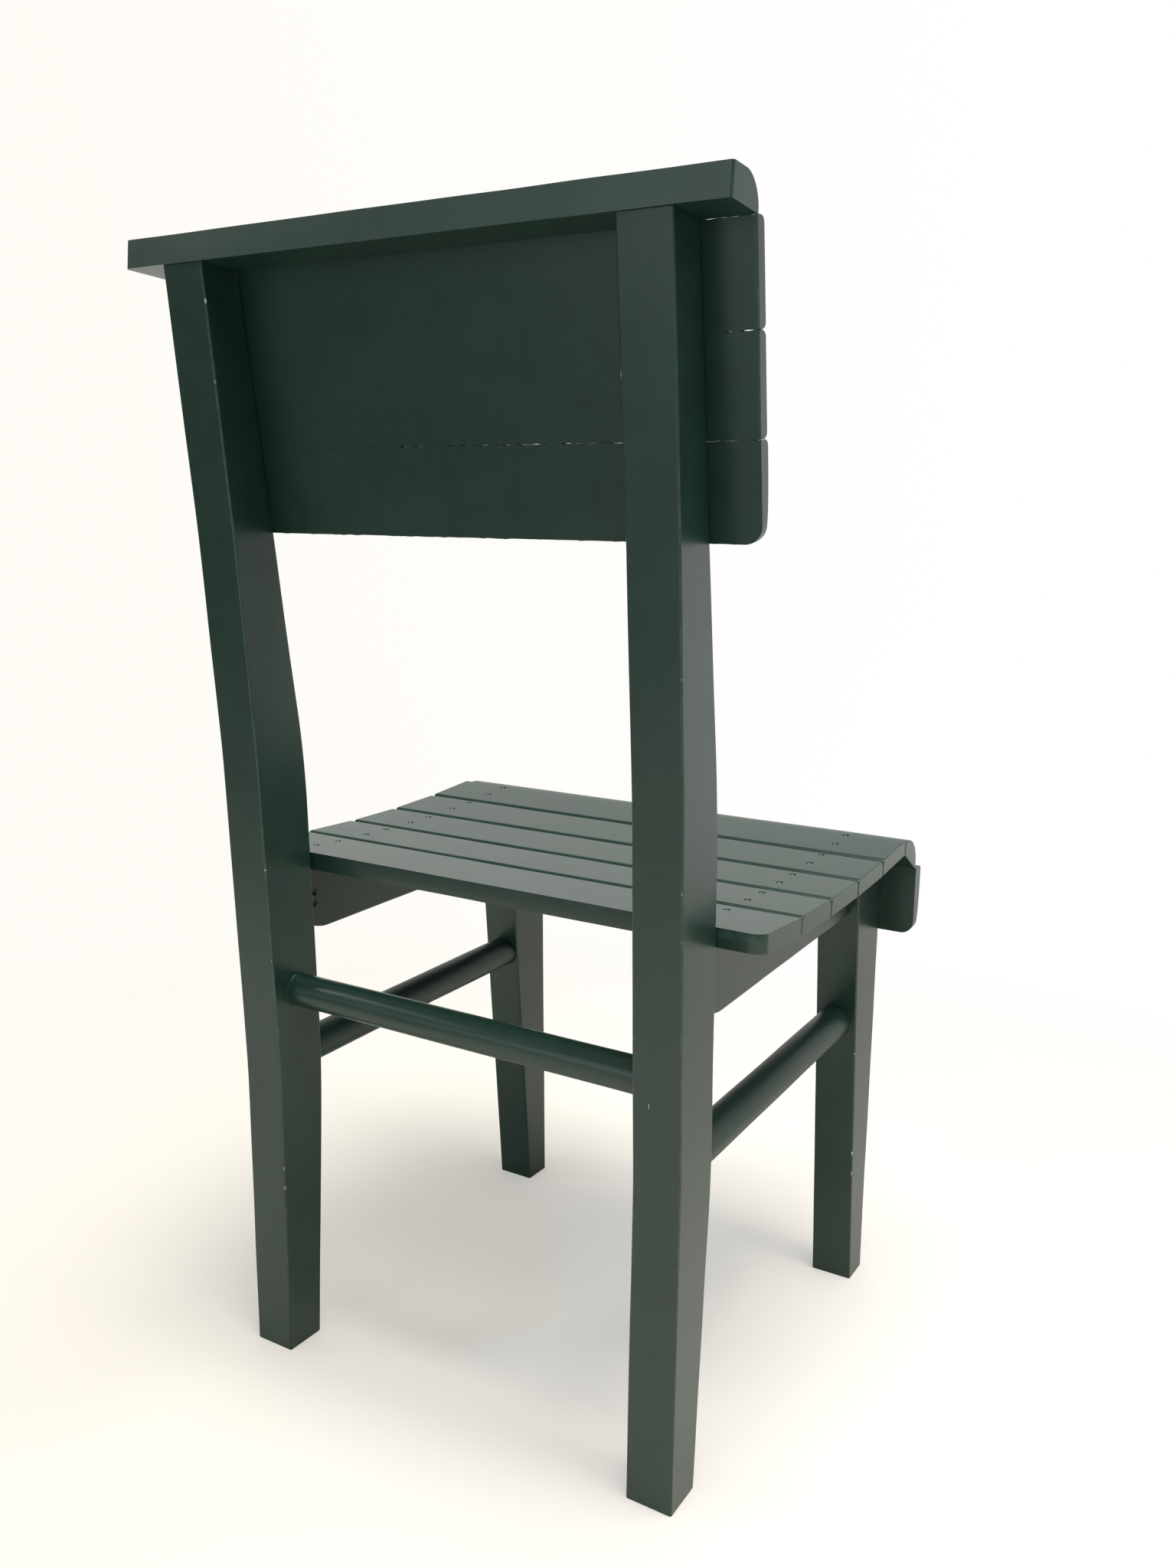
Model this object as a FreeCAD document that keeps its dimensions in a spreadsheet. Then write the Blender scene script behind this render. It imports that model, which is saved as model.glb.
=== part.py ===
# Slatted wooden side chair, a parametric document in millimetres.
# Z is up, the seat faces -Y, and the origin is on the floor at the middle of the footprint.
import FreeCAD, Part
import math
import os
import re
import Sketcher

os.makedirs("parts", exist_ok=True)
doc = FreeCAD.newDocument("slatted_side_chair")

# Driving dimensions
# A size ending in _back is a distance along +Y from the rear edge of the rear feet.
# A size ending in _front is a distance along -Y from the same edge.
# A size ending in _up is a height above the floor.
# A size ending in _turn is an angle in degrees.
SIZES = {
    # Width across the rear posts, and how far other pieces stand out beyond them
    "rear_width": "419",
    "rail_set_out": "1.2",
    "leg_set_out": "0.55",
    "seat_overhang": "35",
    "back_overhang": "36.5",
    "crest_overhang": "37.5",
    "apron_overhang": "35.5",
    # Rear posts, as seen from the side
    "post_thick": "39",
    "post_foot_front": "38.5",
    "post_knee_front": "41.5",
    "post_knee_up": "260",
    "post_waist_front": "21",
    "post_waist_up": "530",
    "post_top_up": "907.5",
    "chest_turn": "10.7",
    "heel_knee_back": "11",
    "heel_knee_up": "265",
    "heel_waist_back": "35.5",
    "heel_waist_up": "540",
    "neck_share": "0.49",
    "neck_hollow": "2.3",
    "head_thick": "36.4",
    "bend_radius": "700",
    "arris_radius": "1.5",
    # Front legs, as seen from the side
    "leg_thick": "39.5",
    "leg_toe_front": "428.4",
    "leg_heel_front": "395.2",
    "leg_gauge_up": "435",
    "leg_face_front": "399.8",
    "leg_rear_front": "334.7",
    # Side rails, hung from the seat line
    "rail_thick": "22",
    "rail_rear_depth": "55.1",
    "rail_fore_depth": "42.9",
    "rail_heel_run": "13",
    "rail_heel_rise": "9",
    "rail_heel_round_share": "0.95",
    "tenon_thick": "9",
    "tenon_height": "34",
    "tenon_length": "24",
    "tenon_rear_lift": "16.1",
    "tenon_fore_lift": "9.9",
    # Seat slats, laid along a dished line
    "seat_low_up": "448",
    "seat_dip_front": "132",
    "seat_radius": "1700",
    "slat_thick": "15",
    "slat_width": "63",
    "slat_pitch": "64.3",
    "slat_two_step": "3.8",
    "rear_slat_width": "74",
    "slat_round": "4.5",
    "slat_end_round": "1.5",
    "rear_slat_corner": "11",
    "rear_slat_bevel_up": "6",
    "rear_slat_bevel_in": "1.5",
    "rear_slat_ease": "0.8",
    # Nosing in front of the last slat
    "nose_flat": "5.5",
    "nose_radius": "32",
    "nose_lip": "0.5",
    "nose_tip_in": "3",
    "nose_tip_down": "5.5",
    # Front apron
    "apron_drop": "84",
    "apron_height": "65",
    "apron_thick": "15",
    "apron_round": "8",
    "apron_corner": "12",
    # Back slats
    "back_drop": "189.4",
    "back_slat_width": "64.2",
    "back_slat_pitch": "64.5",
    "back_slat_thick": "11",
    "back_slat_round": "4.5",
    "back_slat_corner": "12",
    # Crest rail
    "crest_step_in": "1",
    "crest_step_out": "2.3",
    "crest_height": "20.5",
    "crest_lean": "1.2",
    "crest_lip": "1",
    "crest_corner": "3.5",
    "crest_ease": "1.2",
    # Round stretchers
    "rear_stretcher_size": "28.4",
    "rear_stretcher_front": "11",
    "rear_stretcher_up": "334.8",
    "side_stretcher_size": "30.6",
    "side_stretcher_rear_up": "269.3",
    "side_stretcher_fore_up": "279.7",
    "housing_depth": "15",
    # Nails and dowels
    "nail_head_size": "5.4",
    "nail_head_thick": "1.2",
    "nail_shank_size": "2.6",
    "nail_sink": "1.6",
    "seat_nail_length": "38",
    "seat_nail_gap": "28.5",
    "nail_lead_one": "5.6",
    "nail_lead_two": "3.2",
    "nail_lead_three": "4.5",
    "nail_lead_four": "8.2",
    "nail_lead_five": "8",
    "nose_nail_turn": "30",
    "board_nail_length": "24",
    "board_nail_gap": "30",
    "toe_nail_turn": "35",
    "toe_nail_in": "12",
    "toe_nail_lift": "24.1",
    "toe_nail_gap": "10.3",
    "toe_nail_length": "40",
    "dowel_size": "10",
    "dowel_low": "30",
    "dowel_high": "12",
    "dowel_clear": "1",
    # Fits, spare depth in blind bores, and how far cuts run past what they cut
    "bore_spare": "1",
    "fit_gap": "0.05",
    "cut_over": "40",
}
sheet = doc.addObject("Spreadsheet::Sheet", "Sizes")
for row, (word, number) in enumerate(SIZES.items(), start=1):
    sheet.set("A%d" % row, word)
    sheet.set("B%d" % row, number)
    sheet.setAlias("B%d" % row, word)
doc.recompute()

# The head of the posts, and the neck in their rear faces, a little inside the straight line
HEAD_FRONT = "((post_top_up - post_waist_up) * tan(chest_turn) - post_waist_front)"
HEAD_REAR = "({0} + head_thick)".format(HEAD_FRONT)
NECK_REAR = "(heel_waist_back + neck_share * ({0} - heel_waist_back) - neck_hollow)".format(HEAD_REAR)
NECK_UP = "(heel_waist_up + neck_share * (post_top_up - heel_waist_up))"

# The footprint runs from the front feet to the back of the crest rail
MIDDLE = "(leg_toe_front - {0} - crest_step_out) / 2".format(HEAD_REAR)
SEAT_SLATS = ("one", "two", "three", "four", "five")
BACK_SLATS = ("bottom", "middle", "top")
SIDES = {"left": 1, "right": -1}
TOUCH = 1e-4


# Expressions
def worded(text):
    """Put the sheet's name before each size in an expression."""
    return re.sub(r"[a-z_]+", lambda found: "Sizes." + found.group() if found.group() in SIZES
                  else found.group(), text)


def bind(thing, path, text):
    thing.setExpression(path, worded(text))


def number(text):
    """The value that an expression has now."""
    return float(sheet.evalExpression(worded(text)))


def on_line(low, high, up):
    """Distance back of the line through two (back, up) points at a given height."""
    return "(({0}) + (({2}) - ({0})) * (({4}) - ({1})) / (({3}) - ({1})))".format(*low, *high, up)


def post_face(up):
    """Front face of a rear post between its knee and its waist."""
    return on_line(("-post_knee_front", "post_knee_up"), ("-post_waist_front", "post_waist_up"), up)


def post_chest(up):
    """Front face of a rear post above its waist."""
    return "(({0} - post_waist_up) * tan(chest_turn) - post_waist_front)".format(up)


def leg_face(up):
    return on_line(("-leg_toe_front", "0"), ("-leg_face_front", "leg_gauge_up"), up)


def leg_rear(up):
    return on_line(("-leg_heel_front", "0"), ("-leg_rear_front", "leg_gauge_up"), up)


LEG_LEAN = "atan2(leg_toe_front - leg_face_front; leg_gauge_up)"

# Centre planes of the posts, the rails and the legs
POST_CENTRE = "(rear_width / 2 - post_thick / 2)"
RAIL_CENTRE = "(rear_width / 2 - post_thick / 2 + rail_set_out)"
LEG_CENTRE = "(rear_width / 2 - post_thick / 2 + rail_set_out + leg_set_out)"

# Lengths of the boards that run across
SEAT_LENGTH = "(rear_width + 2 * seat_overhang)"
BACK_LENGTH = "(rear_width + 2 * back_overhang)"
CREST_LENGTH = "(rear_width + 2 * crest_overhang)"
APRON_LENGTH = "(rear_width + 2 * apron_overhang)"

# Depths of the crest rail's faces, and of its dowels, which clear the points of the slats' nails
CREST_FRONT = "({0} + crest_step_in)".format(HEAD_FRONT)
CREST_REAR = "({0} + crest_step_out)".format(HEAD_REAR)
NAIL_REACH = "(board_nail_length + nail_sink - back_slat_thick)"
DOWEL_BACK = "({0} + {1} + dowel_clear + dowel_size / 2)".format(HEAD_FRONT, NAIL_REACH)

# Heights that follow the seat or the head of the posts
RAIL_REAR_UP = "(seat_low_up - slat_thick - rail_rear_depth)"
RAIL_FORE_UP = "(seat_low_up - slat_thick - rail_fore_depth)"
TENON_REAR_UP = "({0} + tenon_rear_lift)".format(RAIL_REAR_UP)
TENON_FORE_UP = "({0} + tenon_fore_lift)".format(RAIL_FORE_UP)
BLANK_UP = "(seat_low_up + cut_over)"
APRON_UP = "(seat_low_up - apron_drop)"
BACK_UP = "(post_top_up - back_drop)"


# Seat line
def slat_wide(place):
    return "rear_slat_width" if place == 0 else "slat_width"


def slat_angle(place):
    """Angle in degrees from the lowest line of the seat forward to the middle of a slat."""
    step = "(slat_two_step + {0} * slat_pitch)".format(place - 1)
    if place == 0:
        step = "(slat_two_step - slat_pitch + slat_width / 2 - rear_slat_width / 2)"
    return "({0} / seat_radius * 180 / pi)".format(step)


def seat_point(place, along, above):
    """Back and up of a point given in the frame of a slat, whose origin is under its middle."""
    turn = slat_angle(place)
    reach = "(sqrt((seat_radius + slat_thick)^2 - ({0} / 2)^2) - fit_gap)".format(slat_wide(place))
    back = "(-seat_dip_front - {0} * sin({1}) + ({2}) * cos({1}) + ({3}) * sin({1}))"
    up = "(seat_low_up + seat_radius - {0} * cos({1}) - ({2}) * sin({1}) + ({3}) * cos({1}))"
    return back.format(reach, turn, along, above), up.format(reach, turn, along, above)


# Building blocks
def new_body(label):
    body = doc.addObject("PartDesign::Body", label)
    body.Label = label
    return body


def place(thing, across, back, up, tilt="0"):
    """Set a piece in the chair; tilt turns it about X in degrees."""
    thing.Placement = FreeCAD.Placement(FreeCAD.Vector(), FreeCAD.Rotation(FreeCAD.Vector(1, 0, 0), 1))
    bind(thing, "Placement.Base.x", across)
    bind(thing, "Placement.Base.y", MIDDLE + " + " + back)
    bind(thing, "Placement.Base.z", up)
    bind(thing, "Placement.Rotation.Angle", tilt)


def sketch_on(body, name, plane, shift=("0", "0", "0"), turn="0"):
    """An empty sketch on one of the body's own origin planes."""
    sketch = body.newObject("Sketcher::SketchObject", name)
    face = [item for item in body.Origin.OriginFeatures if item.Role == plane][0]
    sketch.AttachmentSupport = [(face, "")]
    sketch.MapMode = "FlatFace"
    turned = FreeCAD.Rotation(FreeCAD.Vector(1, 0, 0), 1)
    sketch.AttachmentOffset = FreeCAD.Placement(FreeCAD.Vector(), turned)
    for axis, text in zip("xyz", shift):
        bind(sketch, "AttachmentOffset.Base." + axis, text)
    bind(sketch, "AttachmentOffset.Rotation.Angle", turn)
    return sketch


def fix_point(sketch, line, end, across, up):
    """Hold one point of a sketch at a distance across and up from its origin."""
    for kind, text in (("DistanceX", across), ("DistanceY", up)):
        held = sketch.addConstraint(Sketcher.Constraint(kind, -1, 1, line, end, number(text)))
        bind(sketch, "Constraints[%d]" % held, text)


def outline(sketch, corners):
    """A closed outline of straight lines through corners given as expressions."""
    spots = [FreeCAD.Vector(number(across), number(up), 0) for across, up in corners]
    count = len(spots)
    for line in range(count):
        sketch.addGeometry(Part.LineSegment(spots[line], spots[(line + 1) % count]))
    for line in range(count):
        sketch.addConstraint(Sketcher.Constraint("Coincident", line, 2, (line + 1) % count, 1))
    for line, (across, up) in enumerate(corners):
        fix_point(sketch, line, 1, across, up)
    return sketch


def circles(sketch, size, centres):
    """Equal circles at centres given as expressions."""
    for across, up in centres:
        middle = FreeCAD.Vector(number(across), number(up), 0)
        ring = sketch.addGeometry(Part.Circle(middle, FreeCAD.Vector(0, 0, 1), number(size) / 2))
        held = sketch.addConstraint(Sketcher.Constraint("Diameter", ring, number(size)))
        bind(sketch, "Constraints[%d]" % held, size)
        fix_point(sketch, ring, 3, across, up)
    return sketch


def both_ways(body, kind, name, sketch, length):
    """A pad or pocket that runs equally to both sides of its sketch."""
    feature = body.newObject("PartDesign::" + kind, name)
    feature.Profile = sketch
    feature.SideType = "Symmetric"
    bind(feature, "Length", length)
    doc.recompute()
    return feature


def fillet(body, name, radius, wanted):
    """Round the edges of the body's last feature that a test picks out."""
    base = body.Tip
    picked = ["Edge%d" % (index + 1) for index, edge in enumerate(base.Shape.Edges) if wanted(edge)]
    feature = body.newObject("PartDesign::Fillet", name)
    feature.Base = (base, picked)
    bind(feature, "Radius", radius)
    doc.recompute()
    return feature


def round_corner(body, name, plane, corner, inward, radius, length):
    """Cut a board's corner to an arc; inward gives the signs from the corner into the board."""
    across, up = corner
    middle = ("{0} + {1} * {2}".format(across, inward[0], radius),
              "{0} + {1} * {2}".format(up, inward[1], radius))
    sketch = sketch_on(body, name + "_view", plane)
    spot = FreeCAD.Vector(number(across), number(up), 0)
    centre = FreeCAD.Vector(number(middle[0]), number(middle[1]), 0)
    low = FreeCAD.Vector(centre.x, spot.y, 0)
    high = FreeCAD.Vector(spot.x, centre.y, 0)
    sketch.addGeometry(Part.LineSegment(spot, low))
    sketch.addGeometry(Part.LineSegment(high, spot))
    # The arc runs anticlockwise, so its start depends on the corner that it is for
    low_turn = math.atan2(-inward[1], 0)
    high_turn = math.atan2(0, -inward[0])
    starts_low = inward[0] * inward[1] < 0
    start, stop = (low_turn, high_turn) if starts_low else (high_turn, low_turn)
    round_line = Part.Circle(centre, FreeCAD.Vector(0, 0, 1), number(radius))
    sketch.addGeometry(Part.ArcOfCircle(round_line, start, stop if stop > start else stop + 2 * math.pi))
    first, last = (1, 2) if starts_low else (2, 1)
    sketch.addConstraint(Sketcher.Constraint("Coincident", 0, 1, 1, 2))
    sketch.addConstraint(Sketcher.Constraint("Coincident", 0, 2, 2, first))
    sketch.addConstraint(Sketcher.Constraint("Coincident", 1, 1, 2, last))
    fix_point(sketch, 0, 1, across, up)
    fix_point(sketch, 0, 2, middle[0], up)
    fix_point(sketch, 1, 1, across, middle[1])
    held = sketch.addConstraint(Sketcher.Constraint("DistanceX", -1, 1, 2, 3, centre.x))
    bind(sketch, "Constraints[%d]" % held, middle[0])
    return both_ways(body, "Pocket", name, sketch, length)


# Tests that pick edges
def runs_across(edge):
    box = edge.BoundBox
    return box.YLength < TOUCH and box.ZLength < TOUCH


def at_end(edge, half):
    return abs(abs(edge.CenterOfMass.x) - half) < TOUCH


def close(one, other):
    return abs(one - other) < TOUCH


# Nails and dowels
def nail(label, across, back, up, length, turn="0"):
    """A nail with its head at the given point, its shank pointing down before it is turned."""
    head = doc.addObject("Part::Cylinder", label + "_head")
    bind(head, "Radius", "nail_head_size / 2")
    bind(head, "Height", "nail_head_thick")
    bind(head, "Placement.Base.z", "-nail_head_thick")
    shank = doc.addObject("Part::Cylinder", label + "_shank")
    bind(shank, "Radius", "nail_shank_size / 2")
    bind(shank, "Height", length)
    bind(shank, "Placement.Base.z", "-" + length)
    whole = doc.addObject("Part::Fuse", label)
    whole.Base = head
    whole.Tool = shank
    whole.Placement = FreeCAD.Placement(FreeCAD.Vector(), FreeCAD.Rotation(FreeCAD.Vector(1, 0, 0), 1))
    bind(whole, "Placement.Base.x", across)
    bind(whole, "Placement.Base.y", back)
    bind(whole, "Placement.Base.z", up)
    bind(whole, "Placement.Rotation.Angle", turn)
    return whole


def group(label, members):
    whole = doc.addObject("Part::Compound", label)
    whole.Label = label
    whole.Links = members
    return whole


# Mortises for the rail tenons
def mortise(body, sign, centre, start, stop, low):
    """A slot in a post or leg, from outside its face to a little past the tenon's end."""
    aside = "{0} * ({1} - {2})".format(sign, RAIL_CENTRE, centre)
    slot = outline(sketch_on(body, "mortise_view", "YZ_Plane", ("0", "0", aside)), [
        (start, low + " - fit_gap"),
        (stop, low + " - fit_gap"),
        (stop, low + " + tenon_height + fit_gap"),
        (start, low + " + tenon_height + fit_gap"),
    ])
    both_ways(body, "Pocket", "mortise", slot, "tenon_thick + 2 * fit_gap")


# Rear posts
def rear_post(name, sign):
    """A post sawn from one board, kneed below the seat, bent back above it and tapered."""
    body = new_body("rear_post_" + name)
    view = outline(sketch_on(body, "side_view", "YZ_Plane"), [
        ("0", "0"),
        ("heel_knee_back", "heel_knee_up"),
        ("heel_waist_back", "heel_waist_up"),
        (NECK_REAR, NECK_UP),
        (HEAD_REAR, "post_top_up"),
        (HEAD_FRONT, "post_top_up"),
        ("-post_waist_front", "post_waist_up"),
        ("-post_knee_front", "post_knee_up"),
        ("-post_foot_front", "0"),
    ])
    both_ways(body, "Pad", "board", view, "post_thick")
    top = number("post_top_up")
    fillet(body, "bends", "bend_radius",
           lambda edge: runs_across(edge) and TOUCH < edge.CenterOfMass.z < top - TOUCH)
    fillet(body, "arrises", "arris_radius",
           lambda edge: edge.BoundBox.XLength < TOUCH and edge.BoundBox.ZLength > TOUCH)
    # Mortise for the side rail
    middle = TENON_REAR_UP + " + tenon_height / 2"
    mortise(body, sign, POST_CENTRE, post_face(middle) + " - cut_over",
            post_face(middle) + " + tenon_length + bore_spare", TENON_REAR_UP)
    # Housing for the rear stretcher in the inner face
    inner = "-{0} * post_thick / 2".format(sign)
    ring = circles(sketch_on(body, "rear_housing_view", "YZ_Plane", ("0", "0", inner)),
                   "rear_stretcher_size + 2 * fit_gap", [("-rear_stretcher_front", "rear_stretcher_up")])
    both_ways(body, "Pocket", "rear_housing", ring, "2 * (housing_depth + bore_spare)")
    # Housing for the side stretcher in the front face
    side_housing(body, sign, POST_CENTRE, REAR_END)
    # Bore for the dowel that holds the crest rail
    hole = circles(sketch_on(body, "dowel_view", "XY_Plane", ("0", "0", "post_top_up")),
                   "dowel_size + 2 * fit_gap", [("0", DOWEL_BACK)])
    both_ways(body, "Pocket", "dowel_bore", hole, "2 * (dowel_low + bore_spare)")
    place(body, "{0} * {1}".format(sign, POST_CENTRE), "0", "0")
    return body


# Side stretchers and the round housings that they end in
REAR_END = (post_face("side_stretcher_rear_up"), "side_stretcher_rear_up")
FORE_END = (leg_rear("side_stretcher_fore_up"), "side_stretcher_fore_up")
STRETCHER_RUN = "({0} - {1})".format(REAR_END[0], FORE_END[0])
STRETCHER_RISE = "(side_stretcher_fore_up - side_stretcher_rear_up)"
STRETCHER_SLOPE = "atan2({0}; {1})".format(STRETCHER_RISE, STRETCHER_RUN)


def side_housing(body, sign, centre, end):
    aside = "{0} * ({1} - {2})".format(sign, POST_CENTRE, centre)
    sketch = sketch_on(body, "side_housing_view", "XZ_Plane", (aside, end[1], "-" + end[0]),
                       "-" + STRETCHER_SLOPE)
    circles(sketch, "side_stretcher_size + 2 * fit_gap", [("0", "0")])
    both_ways(body, "Pocket", "side_housing", sketch, "2 * (housing_depth + bore_spare)")


def side_stretcher(name, sign):
    body = new_body("side_stretcher_" + name)
    view = circles(sketch_on(body, "end_view", "XY_Plane"), "side_stretcher_size", [("0", "0")])
    both_ways(body, "Pad", "rod", view,
              "sqrt({0}^2 + {1}^2) + 2 * housing_depth".format(STRETCHER_RUN, STRETCHER_RISE))
    place(body, "{0} * {1}".format(sign, POST_CENTRE),
          "({0} + {1}) / 2".format(REAR_END[0], FORE_END[0]),
          "(side_stretcher_rear_up + side_stretcher_fore_up) / 2", "90 - " + STRETCHER_SLOPE + " / 1 deg")
    return body


def rear_stretcher():
    body = new_body("rear_stretcher")
    view = circles(sketch_on(body, "end_view", "YZ_Plane"), "rear_stretcher_size", [("0", "0")])
    both_ways(body, "Pad", "rod", view, "rear_width - 2 * post_thick + 2 * housing_depth")
    place(body, "0", "-rear_stretcher_front", "rear_stretcher_up")
    return body


# Front legs
NOSE_START = "(-slat_pitch + slat_width / 2)"
NOSE_REACH = "(nose_flat + nose_radius)"
NOSE_DROP = "(nose_radius - slat_thick + nose_lip)"
NOSE_TIP_IN = "(nose_flat + nose_radius - nose_tip_in)"
NOSE_TIP_DROP = "(nose_radius - slat_thick + nose_lip + nose_tip_down)"


def front_leg(name, sign):
    """A leg tapered on its rear face, its head sawn to the seat and to the nosing."""
    body = new_body("front_leg_" + name)
    view = outline(sketch_on(body, "side_view", "YZ_Plane"), [
        ("-leg_toe_front", "0"),
        ("-leg_heel_front", "0"),
        (leg_rear(BLANK_UP), BLANK_UP),
        (leg_face(BLANK_UP), BLANK_UP),
    ])
    both_ways(body, "Pad", "board", view, "leg_thick")
    fillet(body, "arrises", "arris_radius",
           lambda edge: edge.BoundBox.XLength < TOUCH and edge.BoundBox.ZLength > TOUCH)
    last = len(SEAT_SLATS) - 1
    far = NOSE_START + " - 2 * " + NOSE_TIP_IN
    head = outline(sketch_on(body, "head_view", "YZ_Plane"), [
        seat_point(last, "slat_width / 2", "-fit_gap"),
        seat_point(last, NOSE_START, "-fit_gap"),
        seat_point(last, far, "-2 * " + NOSE_TIP_DROP + " - fit_gap"),
        seat_point(last, far, "2 * cut_over"),
        seat_point(last, "slat_width / 2", "2 * cut_over"),
    ])
    both_ways(body, "Pocket", "head", head, "2 * leg_thick")
    # Mortise for the side rail
    middle = TENON_FORE_UP + " + tenon_height / 2"
    mortise(body, sign, LEG_CENTRE, leg_rear(middle) + " + cut_over",
            leg_rear(middle) + " - tenon_length - bore_spare", TENON_FORE_UP)
    side_housing(body, sign, LEG_CENTRE, FORE_END)
    place(body, "{0} * {1}".format(sign, LEG_CENTRE), "0", "0")
    return body


# Side rails
def side_rail(name, sign):
    """A rail hollowed on top to the seat line, rounded at its lower rear corner, with two tenons."""
    body = new_body("side_rail_" + name)
    heel_up = "({0} + rail_heel_rise)".format(RAIL_REAR_UP)
    heel_back = post_face(heel_up) + " - rail_heel_run"
    view = outline(sketch_on(body, "side_view", "YZ_Plane"), [
        (post_face(heel_up), heel_up),
        (heel_back, RAIL_REAR_UP),
        (leg_rear(RAIL_FORE_UP), RAIL_FORE_UP),
        (leg_rear(BLANK_UP), BLANK_UP),
        (post_face(BLANK_UP), BLANK_UP),
    ])
    both_ways(body, "Pad", "board", view, "rail_thick")
    # The round at the heel takes up most of the short slope beside it
    corner = number(heel_back)
    slope = "sqrt(rail_heel_run^2 + rail_heel_rise^2)"
    bend = "atan2(rail_heel_rise; rail_heel_run) + atan2({0} - {1}; {2} - {3})".format(
        RAIL_FORE_UP, RAIL_REAR_UP, heel_back, leg_rear(RAIL_FORE_UP))
    fillet(body, "heel", "rail_heel_round_share * {0} / tan(({1}) / 2)".format(slope, bend),
           lambda edge: runs_across(edge) and close(edge.CenterOfMass.y, corner))
    floor = number(RAIL_FORE_UP)
    fillet(body, "arrises", "arris_radius",
           lambda edge: edge.BoundBox.XLength < TOUCH and edge.BoundBox.ZMax < floor + TOUCH)
    # Hollow top edge
    sketch = sketch_on(body, "hollow_view", "YZ_Plane")
    circles(sketch, "2 * (seat_radius + slat_thick)", [("-seat_dip_front", "seat_low_up + seat_radius")])
    both_ways(body, "Pocket", "hollow", sketch, "2 * rail_thick")
    # Tenons
    rear = post_face(TENON_REAR_UP + " + tenon_height / 2")
    fore = leg_rear(TENON_FORE_UP + " + tenon_height / 2")
    for end, start, stop, low in (
        ("rear", rear + " - tenon_length", rear + " + tenon_length", TENON_REAR_UP),
        ("fore", fore + " + tenon_length", fore + " - tenon_length", TENON_FORE_UP),
    ):
        sketch = outline(sketch_on(body, end + "_tenon_view", "YZ_Plane"), [
            (start, low),
            (stop, low),
            (stop, low + " + tenon_height"),
            (start, low + " + tenon_height"),
        ])
        both_ways(body, "Pad", end + "_tenon", sketch, "tenon_thick")
    # Sunk holes for the toe nails in the inner face
    inner = "-{0} * rail_thick / 2".format(sign)
    holes = circles(sketch_on(body, "toe_view", "YZ_Plane", ("0", "0", inner)),
                    "nail_head_size + 2 * fit_gap", toe_points())
    both_ways(body, "Pocket", "toe_holes", holes, "2 * (nail_sink + nail_head_thick)")
    place(body, "{0} * {1}".format(sign, RAIL_CENTRE), "0", "0")
    return body


def toe_points():
    """Back and up of the four toe nails in a rail, two near each end."""
    points = []
    for step in (0, 1):
        up = "({0} + toe_nail_lift + {1} * toe_nail_gap)".format(RAIL_REAR_UP, step)
        points.append((post_face(up) + " - toe_nail_in", up))
        points.append((leg_rear(up) + " + toe_nail_in", up))
    return points


# Seat slats
def seat_slat(place_in_row):
    """A board rounded on its upper long edges; the rear one is wider and keeps a crisp rear edge."""
    word = SEAT_SLATS[place_in_row]
    wide = slat_wide(place_in_row)
    body = new_body("seat_slat_" + word)
    corners = [
        ("-{0} / 2".format(wide), "0"),
        ("{0} / 2".format(wide), "0"),
        ("{0} / 2".format(wide), "slat_thick"),
        ("-{0} / 2".format(wide), "slat_thick"),
    ]
    if place_in_row == 0:
        corners[1:2] = [("{0} / 2 - rear_slat_bevel_in".format(wide), "0"),
                        ("{0} / 2".format(wide), "rear_slat_bevel_up")]
    view = outline(sketch_on(body, "end_view", "YZ_Plane"), corners)
    both_ways(body, "Pad", "board", view, SEAT_LENGTH)
    top = number("slat_thick")
    end = number(SEAT_LENGTH + " / 2")
    if place_in_row == 0:
        fillet(body, "front_round", "slat_round",
               lambda edge: runs_across(edge) and close(edge.CenterOfMass.z, top)
               and edge.CenterOfMass.y < 0)
        for side, sign in SIDES.items():
            round_corner(body, side + "_corner", "XY_Plane",
                         ("{0} * {1} / 2".format(sign, SEAT_LENGTH), "rear_slat_width / 2"),
                         (-sign, -1), "rear_slat_corner", "4 * slat_thick")
        fillet(body, "ease", "rear_slat_ease",
               lambda edge: close(edge.BoundBox.ZMin, top) and (edge.CenterOfMass.y > 0 or at_end(edge, end)))
    else:
        fillet(body, "long_rounds", "slat_round",
               lambda edge: runs_across(edge) and close(edge.CenterOfMass.z, top))
        fillet(body, "end_rounds", "slat_end_round",
               lambda edge: at_end(edge, end) and close(edge.BoundBox.ZMin, top))
    points = seat_nail_points(word)
    sunk = circles(sketch_on(body, "sunk_view", "XY_Plane", ("0", "0", "slat_thick")),
                   "nail_head_size + 2 * fit_gap", points)
    both_ways(body, "Pocket", "sunk_holes", sunk, "2 * (nail_sink + nail_head_thick)")
    drilled = circles(sketch_on(body, "drilled_view", "XY_Plane", ("0", "0", "slat_thick")),
                      "nail_shank_size + 2 * fit_gap", points)
    both_ways(body, "Pocket", "drilled_holes", drilled, "4 * slat_thick")
    seat_place(body, place_in_row)
    return body


def seat_nail_points(word):
    lead = "-nail_lead_" + word
    return [("{0} * {1}".format(across, RAIL_CENTRE), "{0} + {1} * seat_nail_gap / 2".format(lead, along))
            for across in (-1, 1) for along in (-1, 1)]


def seat_place(thing, place_in_row):
    back, up = seat_point(place_in_row, "0", "0")
    place(thing, "0", back, up, "-" + slat_angle(place_in_row))


def seat_nails(place_in_row):
    word = SEAT_SLATS[place_in_row]
    nails = [nail("seat_nail_{0}_{1}".format(word, index), across, along, "slat_thick - nail_sink",
                  "seat_nail_length")
             for index, (across, along) in enumerate(seat_nail_points(word), start=1)]
    whole = group("seat_nails_" + word, nails)
    seat_place(whole, place_in_row)
    return whole


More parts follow.
